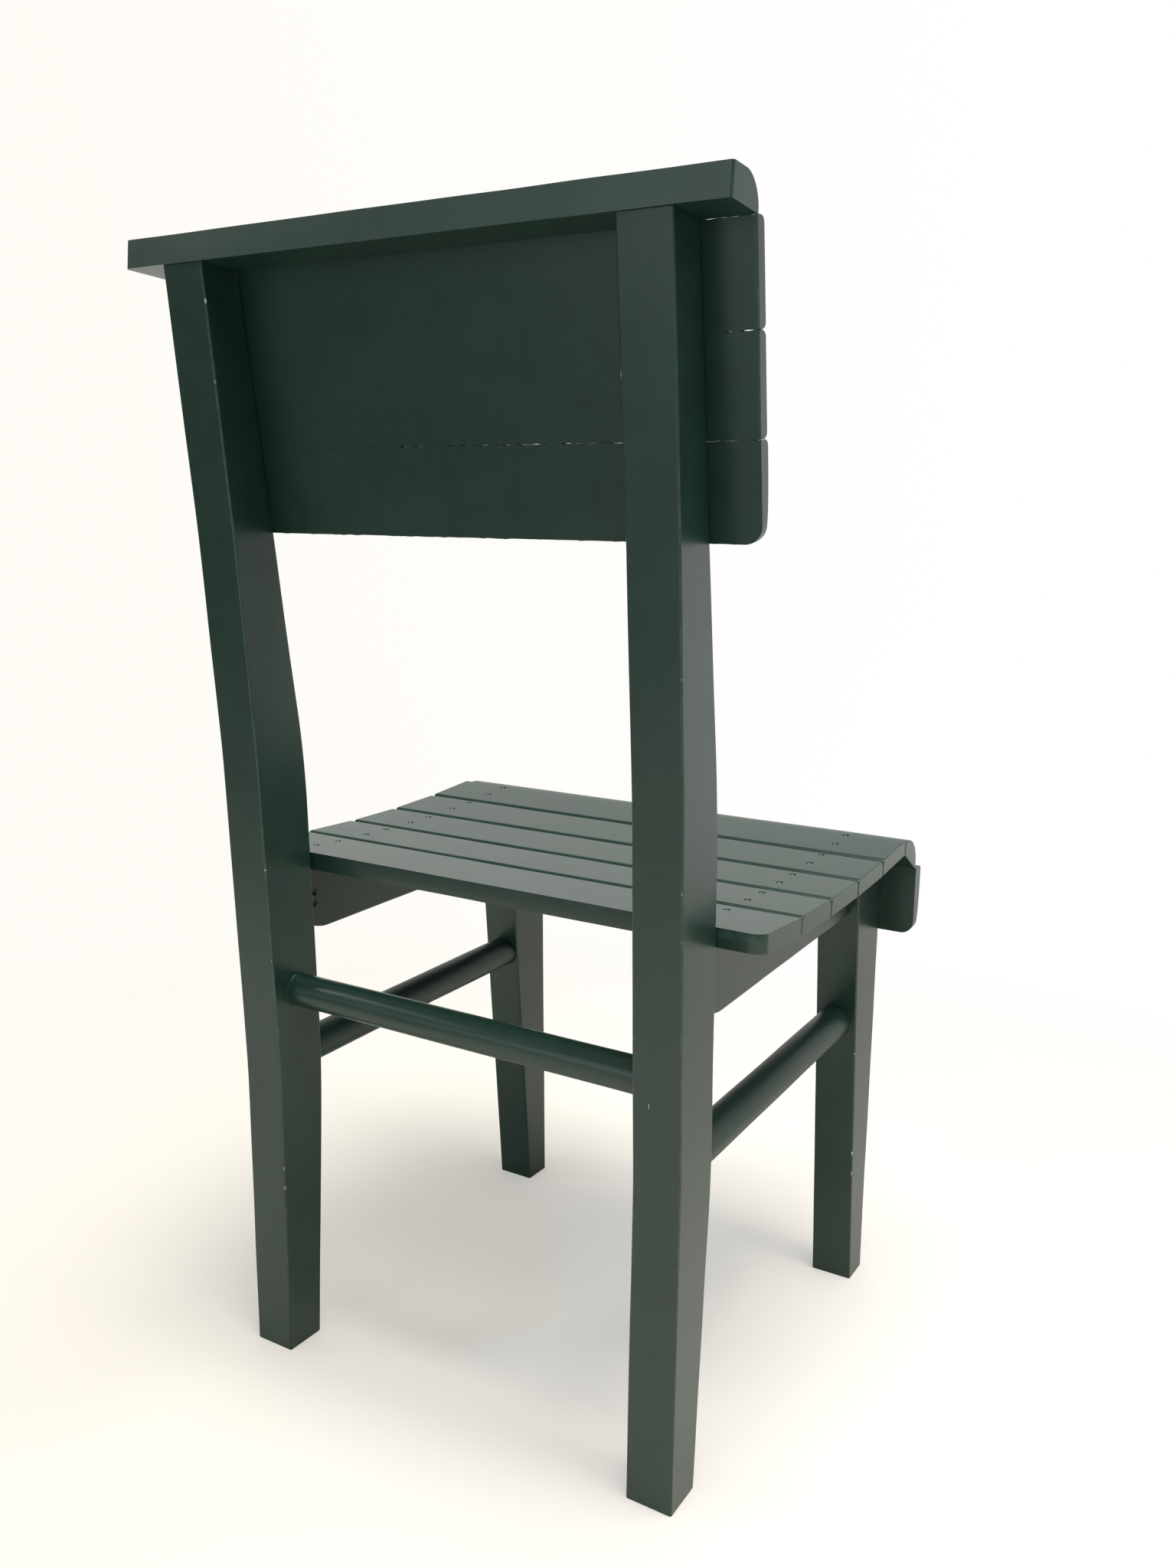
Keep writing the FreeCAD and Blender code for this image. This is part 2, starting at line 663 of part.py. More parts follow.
# Nosing
def seat_nosing():
    """A quarter round nosing, its lower rear face sawn away to sit on the heads of the legs."""
    body = new_body("seat_nosing")
    view = outline(sketch_on(body, "end_view", "YZ_Plane"), [
        (NOSE_START, "0"),
        (NOSE_START, "slat_thick"),
        (NOSE_START + " - " + NOSE_REACH, "slat_thick"),
        (NOSE_START + " - " + NOSE_REACH, "-" + NOSE_DROP),
        (NOSE_START + " - " + NOSE_TIP_IN, "-" + NOSE_TIP_DROP),
    ])
    both_ways(body, "Pad", "board", view, SEAT_LENGTH)
    top = number("slat_thick")
    start = number(NOSE_START)
    fillet(body, "nose_round", "nose_radius",
           lambda edge: runs_across(edge) and close(edge.CenterOfMass.z, top)
           and edge.CenterOfMass.y < start - TOUCH)
    fillet(body, "seam_round", "slat_end_round",
           lambda edge: runs_across(edge) and close(edge.CenterOfMass.z, top)
           and close(edge.CenterOfMass.y, start))
    sunk = circles(sketch_on(body, "sunk_view", "XY_Plane", ("0",) + NOSE_NAIL, "nose_nail_turn"),
                   "nail_head_size + 2 * fit_gap", [("-" + LEG_CENTRE, "0"), (LEG_CENTRE, "0")])
    both_ways(body, "Pocket", "sunk_holes", sunk, "2 * (nail_sink + nail_head_thick)")
    seat_place(body, len(SEAT_SLATS) - 1)
    return body


NOSE_NAIL = (NOSE_START + " - nose_flat - nose_radius * sin(nose_nail_turn)",
             "slat_thick - nose_radius + nose_radius * cos(nose_nail_turn)")


def nosing_nails():
    along = NOSE_NAIL[0] + " + nail_sink * sin(nose_nail_turn)"
    up = NOSE_NAIL[1] + " - nail_sink * cos(nose_nail_turn)"
    nails = [nail("nosing_nail_" + side, "{0} * {1}".format(sign, LEG_CENTRE), along, up,
                  "seat_nail_length", "nose_nail_turn")
             for side, sign in SIDES.items()]
    whole = group("nosing_nails", nails)
    seat_place(whole, len(SEAT_SLATS) - 1)
    return whole


# Front apron
def apron_place(thing):
    place(thing, "0", leg_face(APRON_UP), APRON_UP, "-" + LEG_LEAN)


def front_apron():
    """A board on the front faces of the legs, rounded along its front and at its lower corners."""
    body = new_body("front_apron")
    view = outline(sketch_on(body, "end_view", "YZ_Plane"), [
        ("0", "0"),
        ("0", "apron_height"),
        ("-apron_thick", "apron_height"),
        ("-apron_thick", "0"),
    ])
    both_ways(body, "Pad", "board", view, APRON_LENGTH)
    fillet(body, "front_rounds", "apron_round",
           lambda edge: runs_across(edge) and edge.CenterOfMass.y < -TOUCH)
    for side, sign in SIDES.items():
        round_corner(body, side + "_corner", "XZ_Plane", ("{0} * {1} / 2".format(sign, APRON_LENGTH), "0"),
                     (-sign, 1), "apron_corner", "4 * apron_thick")
    sunk = circles(sketch_on(body, "sunk_view", "XZ_Plane", ("0", "0", "apron_thick")),
                   "nail_head_size + 2 * fit_gap", apron_nail_points())
    both_ways(body, "Pocket", "sunk_holes", sunk, "2 * (nail_sink + nail_head_thick)")
    apron_place(body)
    return body


def apron_nail_points():
    return [("{0} * {1}".format(across, LEG_CENTRE), "apron_height / 2 + {0} * board_nail_gap / 2".format(up))
            for across in (-1, 1) for up in (-1, 1)]


def apron_nails():
    nails = [nail("apron_nail_%d" % index, across, "-apron_thick + nail_sink", up, "board_nail_length", "90")
             for index, (across, up) in enumerate(apron_nail_points(), start=1)]
    whole = group("apron_nails", nails)
    apron_place(whole)
    return whole


# Back slats
def back_place(thing, step):
    """Put a piece on the leaning front faces of the posts, a number of slats up."""
    rise = "(back_slat_pitch * {0})".format(step)
    place(thing, "0", "({0} + {1} * sin(chest_turn))".format(post_chest(BACK_UP), rise),
          "({0} + {1} * cos(chest_turn))".format(BACK_UP, rise), "-chest_turn")


def back_nail_points():
    middle = "back_slat_width / 2"
    return [("{0} * {1}".format(across, POST_CENTRE), "{0} + {1} * board_nail_gap / 2".format(middle, up))
            for across in (-1, 1) for up in (-1, 1)]


def back_slat(step):
    """A board rounded along its front edges; the lowest one has rounded lower corners too."""
    body = new_body("back_slat_" + BACK_SLATS[step])
    view = outline(sketch_on(body, "end_view", "YZ_Plane"), [
        ("0", "0"),
        ("0", "back_slat_width"),
        ("-back_slat_thick", "back_slat_width"),
        ("-back_slat_thick", "0"),
    ])
    both_ways(body, "Pad", "board", view, BACK_LENGTH)
    fillet(body, "front_rounds", "back_slat_round",
           lambda edge: runs_across(edge) and edge.CenterOfMass.y < -TOUCH)
    if step == 0:
        for side, sign in SIDES.items():
            round_corner(body, side + "_corner", "XZ_Plane", ("{0} * {1} / 2".format(sign, BACK_LENGTH), "0"),
                         (-sign, 1), "back_slat_corner", "4 * back_slat_thick")
    sunk = circles(sketch_on(body, "sunk_view", "XZ_Plane", ("0", "0", "back_slat_thick")),
                   "nail_head_size + 2 * fit_gap", back_nail_points())
    both_ways(body, "Pocket", "sunk_holes", sunk, "2 * (nail_sink + nail_head_thick)")
    drilled = circles(sketch_on(body, "drilled_view", "XZ_Plane", ("0", "0", "back_slat_thick")),
                      "nail_shank_size + 2 * fit_gap", back_nail_points())
    both_ways(body, "Pocket", "drilled_holes", drilled, "4 * back_slat_thick")
    back_place(body, step)
    return body


def back_nails(step):
    word = BACK_SLATS[step]
    nails = [nail("back_nail_{0}_{1}".format(word, index), across, "-back_slat_thick + nail_sink", up,
                  "board_nail_length", "90")
             for index, (across, up) in enumerate(back_nail_points(), start=1)]
    whole = group("back_nails_" + word, nails)
    back_place(whole, step)
    return whole


# Crest rail
def crest_rail():
    """A thick rail on the heads of the posts, its top front edge a full quarter round."""
    body = new_body("crest_rail")
    view = outline(sketch_on(body, "end_view", "YZ_Plane"), [
        (CREST_FRONT, "0"),
        (CREST_REAR, "0"),
        (CREST_REAR + " - crest_lean", "crest_height"),
        (CREST_FRONT, "crest_height"),
    ])
    both_ways(body, "Pad", "board", view, CREST_LENGTH)
    top = number("crest_height")
    front = number(CREST_FRONT)
    rear = number(CREST_REAR)
    end = number(CREST_LENGTH + " / 2")
    fillet(body, "front_round", "crest_height - crest_lip",
           lambda edge: runs_across(edge) and close(edge.CenterOfMass.z, top)
           and close(edge.CenterOfMass.y, front))
    fillet(body, "rear_corners", "crest_corner",
           lambda edge: at_end(edge, end) and edge.BoundBox.ZLength > top - TOUCH
           and edge.BoundBox.YMin > (front + rear) / 2)
    fillet(body, "top_ease", "crest_ease",
           lambda edge: close(edge.BoundBox.ZMin, top) and edge.CenterOfMass.y > (front + rear) / 2
           and edge.BoundBox.YLength < TOUCH)
    holes = circles(sketch_on(body, "dowel_view", "XY_Plane"), "dowel_size + 2 * fit_gap",
                    [("-" + POST_CENTRE, DOWEL_BACK), (POST_CENTRE, DOWEL_BACK)])
    both_ways(body, "Pocket", "dowel_bores", holes, "2 * (dowel_high + bore_spare)")
    place(body, "0", "0", "post_top_up")
    return body


def crest_dowels():
    dowels = []
    for side, sign in SIDES.items():
        dowel = doc.addObject("Part::Cylinder", "crest_dowel_" + side)
        bind(dowel, "Radius", "dowel_size / 2")
        bind(dowel, "Height", "dowel_low + dowel_high")
        bind(dowel, "Placement.Base.x", "{0} * {1}".format(sign, POST_CENTRE))
        bind(dowel, "Placement.Base.y", DOWEL_BACK)
        bind(dowel, "Placement.Base.z", "-dowel_low")
        dowels.append(dowel)
    whole = group("crest_dowels", dowels)
    place(whole, "0", "0", "post_top_up")
    return whole


# Toe nails, driven aslant from the inner face of each rail into the post and the leg
def toe_nails():
    nails = []
    for name, sign in SIDES.items():
        for index, (back, up) in enumerate(toe_points()):
            toward = 1 if index % 2 == 0 else -1
            shank = doc.addObject("Part::Cylinder", "toe_nail_{0}_{1}".format(name, index + 1))
            bind(shank, "Radius", "nail_shank_size / 2")
            bind(shank, "Height", "toe_nail_length")
            aside = "{0} * ({1} - rail_thick / 2 + nail_sink)".format(sign, RAIL_CENTRE)
            bind(shank, "Placement.Base.x", aside)
            bind(shank, "Placement.Base.y", back)
            bind(shank, "Placement.Base.z", up)
            bind(shank, "Placement.Rotation.Axis.x", "{0} * cos(toe_nail_turn)".format(-toward))
            bind(shank, "Placement.Rotation.Axis.y", "{0} * sin(toe_nail_turn)".format(sign))
            bind(shank, "Placement.Rotation.Axis.z", "0")
            bind(shank, "Placement.Rotation.Angle", "90")
            nails.append(shank)
    whole = group("toe_nails", nails)
    place(whole, "0", "0", "0")
    return whole


sub_parts = []
for side_name, side_sign in SIDES.items():
    sub_parts.append(rear_post(side_name, side_sign))
    sub_parts.append(front_leg(side_name, side_sign))
    sub_parts.append(side_rail(side_name, side_sign))
    sub_parts.append(side_stretcher(side_name, side_sign))
sub_parts.append(rear_stretcher())
sub_parts.append(toe_nails())
for row in range(len(SEAT_SLATS)):
    sub_parts.append(seat_slat(row))
    sub_parts.append(seat_nails(row))
sub_parts.append(seat_nosing())
sub_parts.append(nosing_nails())
sub_parts.append(front_apron())
sub_parts.append(apron_nails())
for row in range(len(BACK_SLATS)):
    sub_parts.append(back_slat(row))
    sub_parts.append(back_nails(row))
sub_parts.append(crest_rail())
sub_parts.append(crest_dowels())
doc.recompute()

# Check every object, then write each sub-part
for item in doc.Objects:
    if "Invalid" in item.State or "Error" in item.State:
        raise RuntimeError("%s failed" % item.Label)
for item in sub_parts:
    if item.Shape.isNull() or not item.Shape.isValid():
        raise RuntimeError("%s has no sound shape" % item.Label)
for item in sub_parts:
    item.Shape.exportStep("parts/%s.step" % item.Label)
    box = item.Shape.BoundBox
    print("%-22s solids %d  x %.1f %.1f  y %.1f %.1f  z %.1f %.1f" % (
        item.Label, len(item.Shape.Solids), box.XMin, box.XMax, box.YMin, box.YMax, box.ZMin, box.ZMax))
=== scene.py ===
# %% [markdown]
# A painted wooden side chair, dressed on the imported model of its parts.
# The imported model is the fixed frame: it says where each board, post and rail is, to a tenth
# of a millimetre. Each visible board is modelled again here with the soft arrises, small waves
# and nail dishes of painted joinery, in the same frame, so it lies where its plain solid lies.

# %% Load the frame
import math

import bmesh
import bpy
from mathutils import Matrix, Vector, noise


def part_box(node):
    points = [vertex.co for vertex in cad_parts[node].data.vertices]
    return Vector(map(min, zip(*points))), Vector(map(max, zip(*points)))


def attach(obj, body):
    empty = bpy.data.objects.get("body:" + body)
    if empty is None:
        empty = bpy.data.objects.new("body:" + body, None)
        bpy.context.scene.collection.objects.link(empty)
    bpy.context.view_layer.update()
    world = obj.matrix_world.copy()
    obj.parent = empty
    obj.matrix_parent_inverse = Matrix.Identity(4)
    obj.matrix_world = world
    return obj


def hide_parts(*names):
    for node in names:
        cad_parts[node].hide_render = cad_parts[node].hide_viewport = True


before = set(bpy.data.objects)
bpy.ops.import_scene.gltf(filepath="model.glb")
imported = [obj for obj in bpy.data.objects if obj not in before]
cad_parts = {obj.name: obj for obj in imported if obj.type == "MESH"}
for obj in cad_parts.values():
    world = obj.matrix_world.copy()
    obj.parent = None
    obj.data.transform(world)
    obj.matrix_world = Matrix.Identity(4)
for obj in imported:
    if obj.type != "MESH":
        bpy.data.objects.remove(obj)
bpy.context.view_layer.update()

# %% [markdown]
# The photograph looks at the chair from behind and a little above the seat, from about a metre
# away, so the lens draws the near post much larger than the far one. The camera's place and
# turn were worked out from edges of known length. An object's own axes are the columns of its
# matrix: for a camera they are right, up, and the way that points back at the photographer.

# %% Camera
CAMERA_PLACE = Vector((-0.57297, 0.95988, 0.70397))
CAMERA_TURN = 0.52444
CAMERA_DIP = 0.16959
CAMERA_ROLL = -0.03434
FOCAL_PIXELS = 1694.2
PHOTO_HEIGHT = 2048
SENSOR_MM = 36
CLIP_NEAR = 0.01
CLIP_FAR = 100
MM = 0.001


def camera_axes(turn, dip, roll):
    """The camera's right, up and backward directions."""
    level_share = math.cos(dip)
    forward = Vector((math.sin(turn) * level_share, -math.cos(turn) * level_share, -math.sin(dip)))
    level = forward.cross(Vector((0, 0, 1))).normalized()
    down = forward.cross(level)
    right = math.cos(roll) * level + math.sin(roll) * down
    under = -math.sin(roll) * level + math.cos(roll) * down
    return right, -under, -forward


def make_camera():
    """The photograph's camera, with the long side of the picture on the sensor's width."""
    lens = bpy.data.cameras.new("camera")
    lens.sensor_fit = "AUTO"
    lens.sensor_width = SENSOR_MM
    lens.lens = FOCAL_PIXELS / PHOTO_HEIGHT * SENSOR_MM
    lens.clip_start = CLIP_NEAR
    lens.clip_end = CLIP_FAR
    camera = bpy.data.objects.new("camera", lens)
    bpy.context.scene.collection.objects.link(camera)
    axes = Matrix(camera_axes(CAMERA_TURN, CAMERA_DIP, CAMERA_ROLL)).transposed()
    camera.matrix_world = Matrix.Translation(CAMERA_PLACE) @ axes.to_4x4()
    bpy.context.scene.camera = camera
    print("camera with a lens of", round(lens.lens, 2), "mm")


make_camera()

# %% [markdown]
# The room, the floor and the paint are each a tree of nodes. These helpers add a node and wire
# it in one line, so that a tree reads from top to bottom like a recipe. A socket takes either a
# plain value or the output of another node.

# %% Helpers for node trees
def set_socket(tree, socket, value):
    """Gives a socket a value, or a link where the value is another node's output."""
    if isinstance(value, bpy.types.NodeSocket):
        tree.links.new(value, socket)
    else:
        socket.default_value = value


def node_at(tree, kind, *in_order, **by_name):
    """Adds a node and sets its sockets: the first ones in order, any others by name."""
    node = tree.nodes.new(kind)
    for socket, value in zip(node.inputs, in_order):
        set_socket(tree, socket, value)
    for name, value in by_name.items():
        set_socket(tree, node.inputs[name.replace("_", " ")], value)
    return node


def empty_tree(holder):
    """The node tree of a material or world, with nothing in it."""
    holder.use_nodes = True
    holder.node_tree.nodes.clear()
    return holder.node_tree


def maths(tree, operation, first, second):
    """A Math node's result."""
    node = node_at(tree, "ShaderNodeMath", first, second)
    node.operation = operation
    return node.outputs[0]


def vector_maths(tree, operation, *vectors):
    """A Vector Math node."""
    node = node_at(tree, "ShaderNodeVectorMath", *vectors)
    node.operation = operation
    return node


def spread(tree, value, low, high, start, stop):
    """A Map Range node's result: value from low..high to start..stop, held at the ends."""
    return node_at(tree, "ShaderNodeMapRange", value, low, high, start, stop).outputs[0]


def mix_values(tree, kind, places, values):
    """A Mix node of a kind, with values at the sockets that this kind uses."""
    node = tree.nodes.new("ShaderNodeMix")
    node.data_type = kind
    for place, value in zip(places, values):
        set_socket(tree, node.inputs[place], value)
    return node


def number_mix(tree, share, first, second):
    """A number between first and second."""
    return mix_values(tree, "FLOAT", (0, 2, 3), (share, first, second)).outputs[0]


def colour_mix(tree, share, first, second):
    """A colour between first and second."""
    return mix_values(tree, "RGBA", (0, 6, 7), (share, first, second)).outputs[2]


def shader_mix(tree, share, first, second):
    """The first shader's node where share is 0, the second's where it is 1."""
    return node_at(tree, "ShaderNodeMixShader", share, first.outputs[0], second.outputs[0])


def opaque(colour, strength=1.0):
    """A colour made darker or paler, with the fourth number that a colour socket takes."""
    return tuple(strength * part for part in colour) + (1,)


def camera_looks(tree):
    """1 for what the camera sees straight, 0 for what lights or shows in other things."""
    return tree.nodes.new("ShaderNodeLightPath").outputs["Is Camera Ray"]


print("helpers for node trees")

# %% [markdown]
# Satin paint shows what it faces, so the room is drawn for the paint: a bright wall ahead,
# brighter on the right, and a darker room behind the photographer with one soft window low in
# it. Faces turned to the photographer then stay deep green, and faces seen at a glancing angle
# go pale. The camera itself sees plain white paper instead of the room.
# Each span below holds where a change starts and ends, by a part of the direction that is
# looked in, and the values at its two ends.

# %% The room
WARM_WHITE = (1.0, 0.985, 0.955)
PAPER_WHITE = (1.0, 1.0, 1.0)
PAPER_WARM = (1.0, 0.972, 0.925)
PAPER_ACROSS = (0.25, 0.75, 0.0, 1.0)
WINDOW_COLOUR = (0.95, 1.0, 1.0)
WINDOW_WAY = (0.26, 0.93, 0.26)
WINDOW_RIM = (0.90, 0.995, 0.17, 1.9)
LOW_GLOW_ACROSS = (0.52, 0.38, 0.0, 0.42)
LOW_GLOW_UP = (0.1, 0.3, 1.0, 0.0)
WALL_ACROSS = (-0.3, 0.2)
WALL_RIGHT_UP = (0.05, 0.3, 1.2, 0.7)
WALL_LEFT = 0.95
WALL_END = (-0.55, -0.8, 1.0, 0.3)
CEILING_UP = (0.42, 0.7, 1.0, 0.3)
BEHIND_TO_AHEAD = (0.05, -0.5, 0.0, 1.0)


def paper_colour(tree, across):
    """White paper that turns warmer toward the left."""
    leftward = spread(tree, across, *PAPER_ACROSS)
    return colour_mix(tree, leftward, opaque(PAPER_WHITE), opaque(PAPER_WARM))


def make_room():
    """A bright wall ahead and a dark room with a window behind, but paper for the camera."""
    world = bpy.data.worlds.new("room")
    tree = empty_tree(world)
    way = tree.nodes.new("ShaderNodeTexCoord").outputs["Generated"]
    parts = node_at(tree, "ShaderNodeSeparateXYZ", way)
    across, back, up = (parts.outputs[word] for word in "XYZ")
    toward_window = vector_maths(tree, "DOT_PRODUCT", way, WINDOW_WAY).outputs["Value"]
    behind = spread(tree, toward_window, *WINDOW_RIM)
    # The lower room behind is brighter to the right of the window
    low_glow = spread(tree, across, *LOW_GLOW_ACROSS)
    low_glow = maths(tree, "MULTIPLY", low_glow, spread(tree, up, *LOW_GLOW_UP))
    behind = maths(tree, "ADD", behind, low_glow)
    wall = spread(tree, across, *WALL_ACROSS, spread(tree, up, *WALL_RIGHT_UP), WALL_LEFT)
    wall = maths(tree, "MULTIPLY", wall, spread(tree, across, *WALL_END))
    wall = maths(tree, "MULTIPLY", wall, spread(tree, up, *CEILING_UP))
    turned = spread(tree, back, *BEHIND_TO_AHEAD)
    strength = number_mix(tree, turned, behind, wall)
    tint = colour_mix(tree, turned, opaque(WINDOW_COLOUR), opaque(WARM_WHITE))
    room = node_at(tree, "ShaderNodeBackground", Color=tint, Strength=strength)
    paper = node_at(tree, "ShaderNodeBackground", Color=paper_colour(tree, across), Strength=1.0)
    whole = shader_mix(tree, camera_looks(tree), room, paper)
    node_at(tree, "ShaderNodeOutputWorld", Surface=whole.outputs[0])
    bpy.context.scene.world = world


bpy.context.scene.view_settings.view_transform = "Standard"
make_room()
print("a room with", len(bpy.context.scene.world.node_tree.nodes), "nodes")

# %% [markdown]
# A wide lamp hangs over the chair and draws the soft shadow between its feet. Two weaker ones
# at the sides draw faint streaks of shadow away from the feet.

# %% Lamps
# Each lamp: its place, the height over the chair's middle that it faces, its width, its watts
LAMPS = {
    "lamp_above": ((-0.5, 0.25, 2.5), 0.4, 1.4, 67),
    "lamp_left": ((2.1, 1.3, 2.0), 0.3, 0.5, 7),
    "lamp_right": ((-2.3, 0.3, 2.2), 0.3, 0.8, 12),
}


def soft_lamp(name, place, aim_up, wide, power):
    """A square soft lamp at place, facing a point above the middle of the floor."""
    data = bpy.data.lights.new(name, "AREA")
    data.shape = "SQUARE"
    data.size = wide
    data.energy = power
    data.color = WARM_WHITE
    lamp = bpy.data.objects.new(name, data)
    bpy.context.scene.collection.objects.link(lamp)
    way = Vector(place) - Vector((0, 0, aim_up))
    turn = way.to_track_quat("Z", "Y").to_matrix().to_4x4()
    lamp.matrix_world = Matrix.Translation(Vector(place)) @ turn


for lamp_name, lamp_settings in LAMPS.items():
    soft_lamp(lamp_name, *lamp_settings)
print(len(LAMPS), "soft lamps")

# %% [markdown]
# The floor is white paper. Near the chair the camera sees it as a matt surface that takes the
# shadow, and farther out it fades into the white of the room. The paint sees the same floor with
# painted shade: its colour is darker in front of the chair than behind it, and it ends behind the
# photographer.

# %% Floor
FLOOR_RADIUS = 14.0
FLOOR_SIDES = 96
FLOOR_FADES = (0.45, 1.35, 0.36, 1.0)
FLOOR_MATT = (1.0, 0.935, 0.835)
FLOOR_BACK_SPAN = (-0.5, 0.0, 0.0, 1.0)
FLOOR_SHADED_IN_FRONT = (0.74, 0.71, 0.67)
FLOOR_LIT_BEHIND = (0.95, 0.92, 0.86)
PAPER_ENDS = (1.2, 2.4, 0.0, 1.0)


def paper_skin():
    """The paper's material, one for the camera and one for the paint."""
    skin = bpy.data.materials.new("pale_floor")
    tree = empty_tree(skin)
    spot = tree.nodes.new("ShaderNodeTexCoord").outputs["Object"]
    reach = vector_maths(tree, "LENGTH", spot).outputs["Value"]
    straight = camera_looks(tree)
    matt = node_at(tree, "ShaderNodeBsdfDiffuse", Color=opaque(FLOOR_MATT))
    outward = vector_maths(tree, "NORMALIZE", spot).outputs[0]
    outward_across = node_at(tree, "ShaderNodeSeparateXYZ", outward).outputs["X"]
    white = paper_colour(tree, outward_across)
    glow = node_at(tree, "ShaderNodeEmission", Color=white, Strength=1.0)
    seen = shader_mix(tree, spread(tree, reach, *FLOOR_FADES), matt, glow)
    # Painted shade for the paint: the floor it sees is darker in front of the chair and paler
    # behind it
    back = node_at(tree, "ShaderNodeSeparateXYZ", spot).outputs["Y"]
    lit = spread(tree, back, *FLOOR_BACK_SPAN)
    shade = colour_mix(tree, lit, opaque(FLOOR_SHADED_IN_FRONT), opaque(FLOOR_LIT_BEHIND))
    mirrored = node_at(tree, "ShaderNodeBsdfDiffuse", Color=shade)
    paper = shader_mix(tree, straight, mirrored, seen)
    # Far from the chair the paper ends, which only the paint can see
    ended = spread(tree, reach, *PAPER_ENDS)
    unseen = maths(tree, "SUBTRACT", 1.0, straight)
    clear = tree.nodes.new("ShaderNodeBsdfTransparent")
    whole = shader_mix(tree, maths(tree, "MULTIPLY", ended, unseen), paper, clear)
    node_at(tree, "ShaderNodeOutputMaterial", Surface=whole.outputs[0])
    return skin


def make_floor():
    """A large round sheet of paper under the chair."""
    bm = bmesh.new()
    bmesh.ops.create_circle(bm, cap_ends=True, cap_tris=False, segments=FLOOR_SIDES,
                            radius=FLOOR_RADIUS)
    mesh = bpy.data.meshes.new("floor")
    bm.to_mesh(mesh)
    bm.free()
    floor = bpy.data.objects.new("floor", mesh)
    bpy.context.scene.collection.objects.link(floor)
    mesh.materials.append(paper_skin())


make_floor()
print("a floor of", 2 * FLOOR_RADIUS, "m across")

# %% [markdown]
# The finish is a brushed satin paint, a very dark bottle green. A coat of paint is one smooth
# skin, but the brush leaves fine lines along each board, the film is a little uneven, and on
# the arrises it is thin, so there it wears to a paler line and chips in small spots.
# Noise in Object coordinates makes all of this. Drawn out along one axis, it gives brush lines.
# The larger chips are given one by one, each as a point with a reach along X, Y and Z.
# The same kind of point and reach places a patch of painted highlight, pale and mottled, on the
# seat's rear right corner.

# %% Helpers for paint
# Each noise: how fine it is, how rich in detail, and from where in space it is taken
BRUSH = (900, 3, 1.0)
GRAIN = (240, 4, 2.0)
FILM = (16, 3, 3.0)
CLOUD = (60, 4, 7.0)
PEEL = (420, 2, 4.0)
PATCHES = (90, 4, 5.0)
SPECKS = (190, 2, 6.0)
RAGGED = (700, 2, 9.0)
MOTTLE = (300, 3, 8.0)
EVEN = (1.0, 1.0, 1.0)
DRAWN_OUT = 0.035
NOISE_ROUGHNESS = 0.6
SPOT_RIM = (1.5, 1.2, 0.0, 1.0)


def stretched_noise(tree, place, stretch, scale, detail, seed):
    """Noise in Object coordinates, drawn out by a scale along each axis."""
    start = (seed, seed * 0.7, seed * 1.3)
    moved = node_at(tree, "ShaderNodeMapping", Vector=place, Location=start, Scale=stretch)
    return node_at(tree, "ShaderNodeTexNoise", Vector=moved.outputs[0], Scale=scale,
                   Detail=detail, Roughness=NOISE_ROUGHNESS).outputs[0]


def chip_or_highlight_mask(tree, place, marked_spots):
    """1 inside any given spot, a chip or a patch of painted highlight, with a ragged rim."""
    if not marked_spots:
        return 0.0
    ragged = stretched_noise(tree, place, EVEN, *RAGGED)
    whole = 0.0
    for point, reach in marked_spots:
        middle = tuple(value * MM for value in point)
        shrink = tuple(1 / (value * MM) for value in reach)
        away = vector_maths(tree, "SUBTRACT", place, middle).outputs[0]
        scaled = vector_maths(tree, "MULTIPLY", away, shrink).outputs[0]
        far = vector_maths(tree, "LENGTH", scaled).outputs["Value"]
        near = spread(tree, maths(tree, "ADD", far, ragged), *SPOT_RIM)
        whole = maths(tree, "MAXIMUM", whole, near)
    return whole


print("helpers for paint")

# %% [markdown]
# One function makes the paint for each way that the brush was drawn: across the chair (X),
# along the rails (Y) or up the posts (Z).
# Where a board's arris is rounded, the mesh carries an attribute named arris that is 1 on the
# crown of the round and 0 beside it, so wear follows the real edges and nothing else.

# %% The paint
GREEN = (0.0085, 0.030, 0.0205)
DEEPEST_GREEN = 0.82
PALEST_GREEN = 1.2
# Paint worn thin on the arrises, and also the colour of the painted highlight on the seat's rear
# corner
WORN_AND_HIGHLIGHT_GREEN = (0.025, 0.062, 0.048)
PALE_CHIP = (0.42, 0.44, 0.38)
ARRIS_MARK = "arris"
TONE_SPAN = (0.6, 1.4, 0.0, 1.0)
SHEEN_SPAN = (0.9, 2.1)
WORN_PATCHES = (0.40, 0.62, 0.25, 1.0)
CHIPPED_SPECKS = (0.70, 0.74, 0.0, 1.0)
HIGHLIGHT_BLOTCHES = (0.45, 0.62, 0.0, 1.0)
BRUSH_RISE = 0.10
GRAIN_RISE = 0.04
PEEL_RISE = 0.05
FILM_DEPTH = 0.05 * MM
PAINT_IOR = 1.5
# The least and the most roughness of the paint, and of rods rubbed dull by hands and feet
SATIN = (0.282, 0.34)
RUBBED = (0.38, 0.52)
# Chips on the posts and legs: a point in millimetres and its reach along X, Y and Z
UPRIGHT_CHIPS = (
    ((170.5, 252.3, 880.4), (1.2, 1.2, 2.6)),
    ((-170.5, 242.7, 816.8), (1.3, 1.3, 3.0)),
    ((-184.0, 186.2, 326.7), (0.3, 0.6, 3.2)),
    ((170.5, 177.0, 176.7), (1.0, 1.0, 2.5)),
    ((-211.5, -190.8, 249.2), (1.0, 1.0, 2.2)),
    ((-211.5, -205.6, 142.8), (1.4, 1.4, 2.6)),
    ((-211.5, -208.7, 120.7), (1.1, 1.1, 4.0)),
    ((-172.0, -203.4, 158.8), (0.9, 0.9, 2.0)),
)
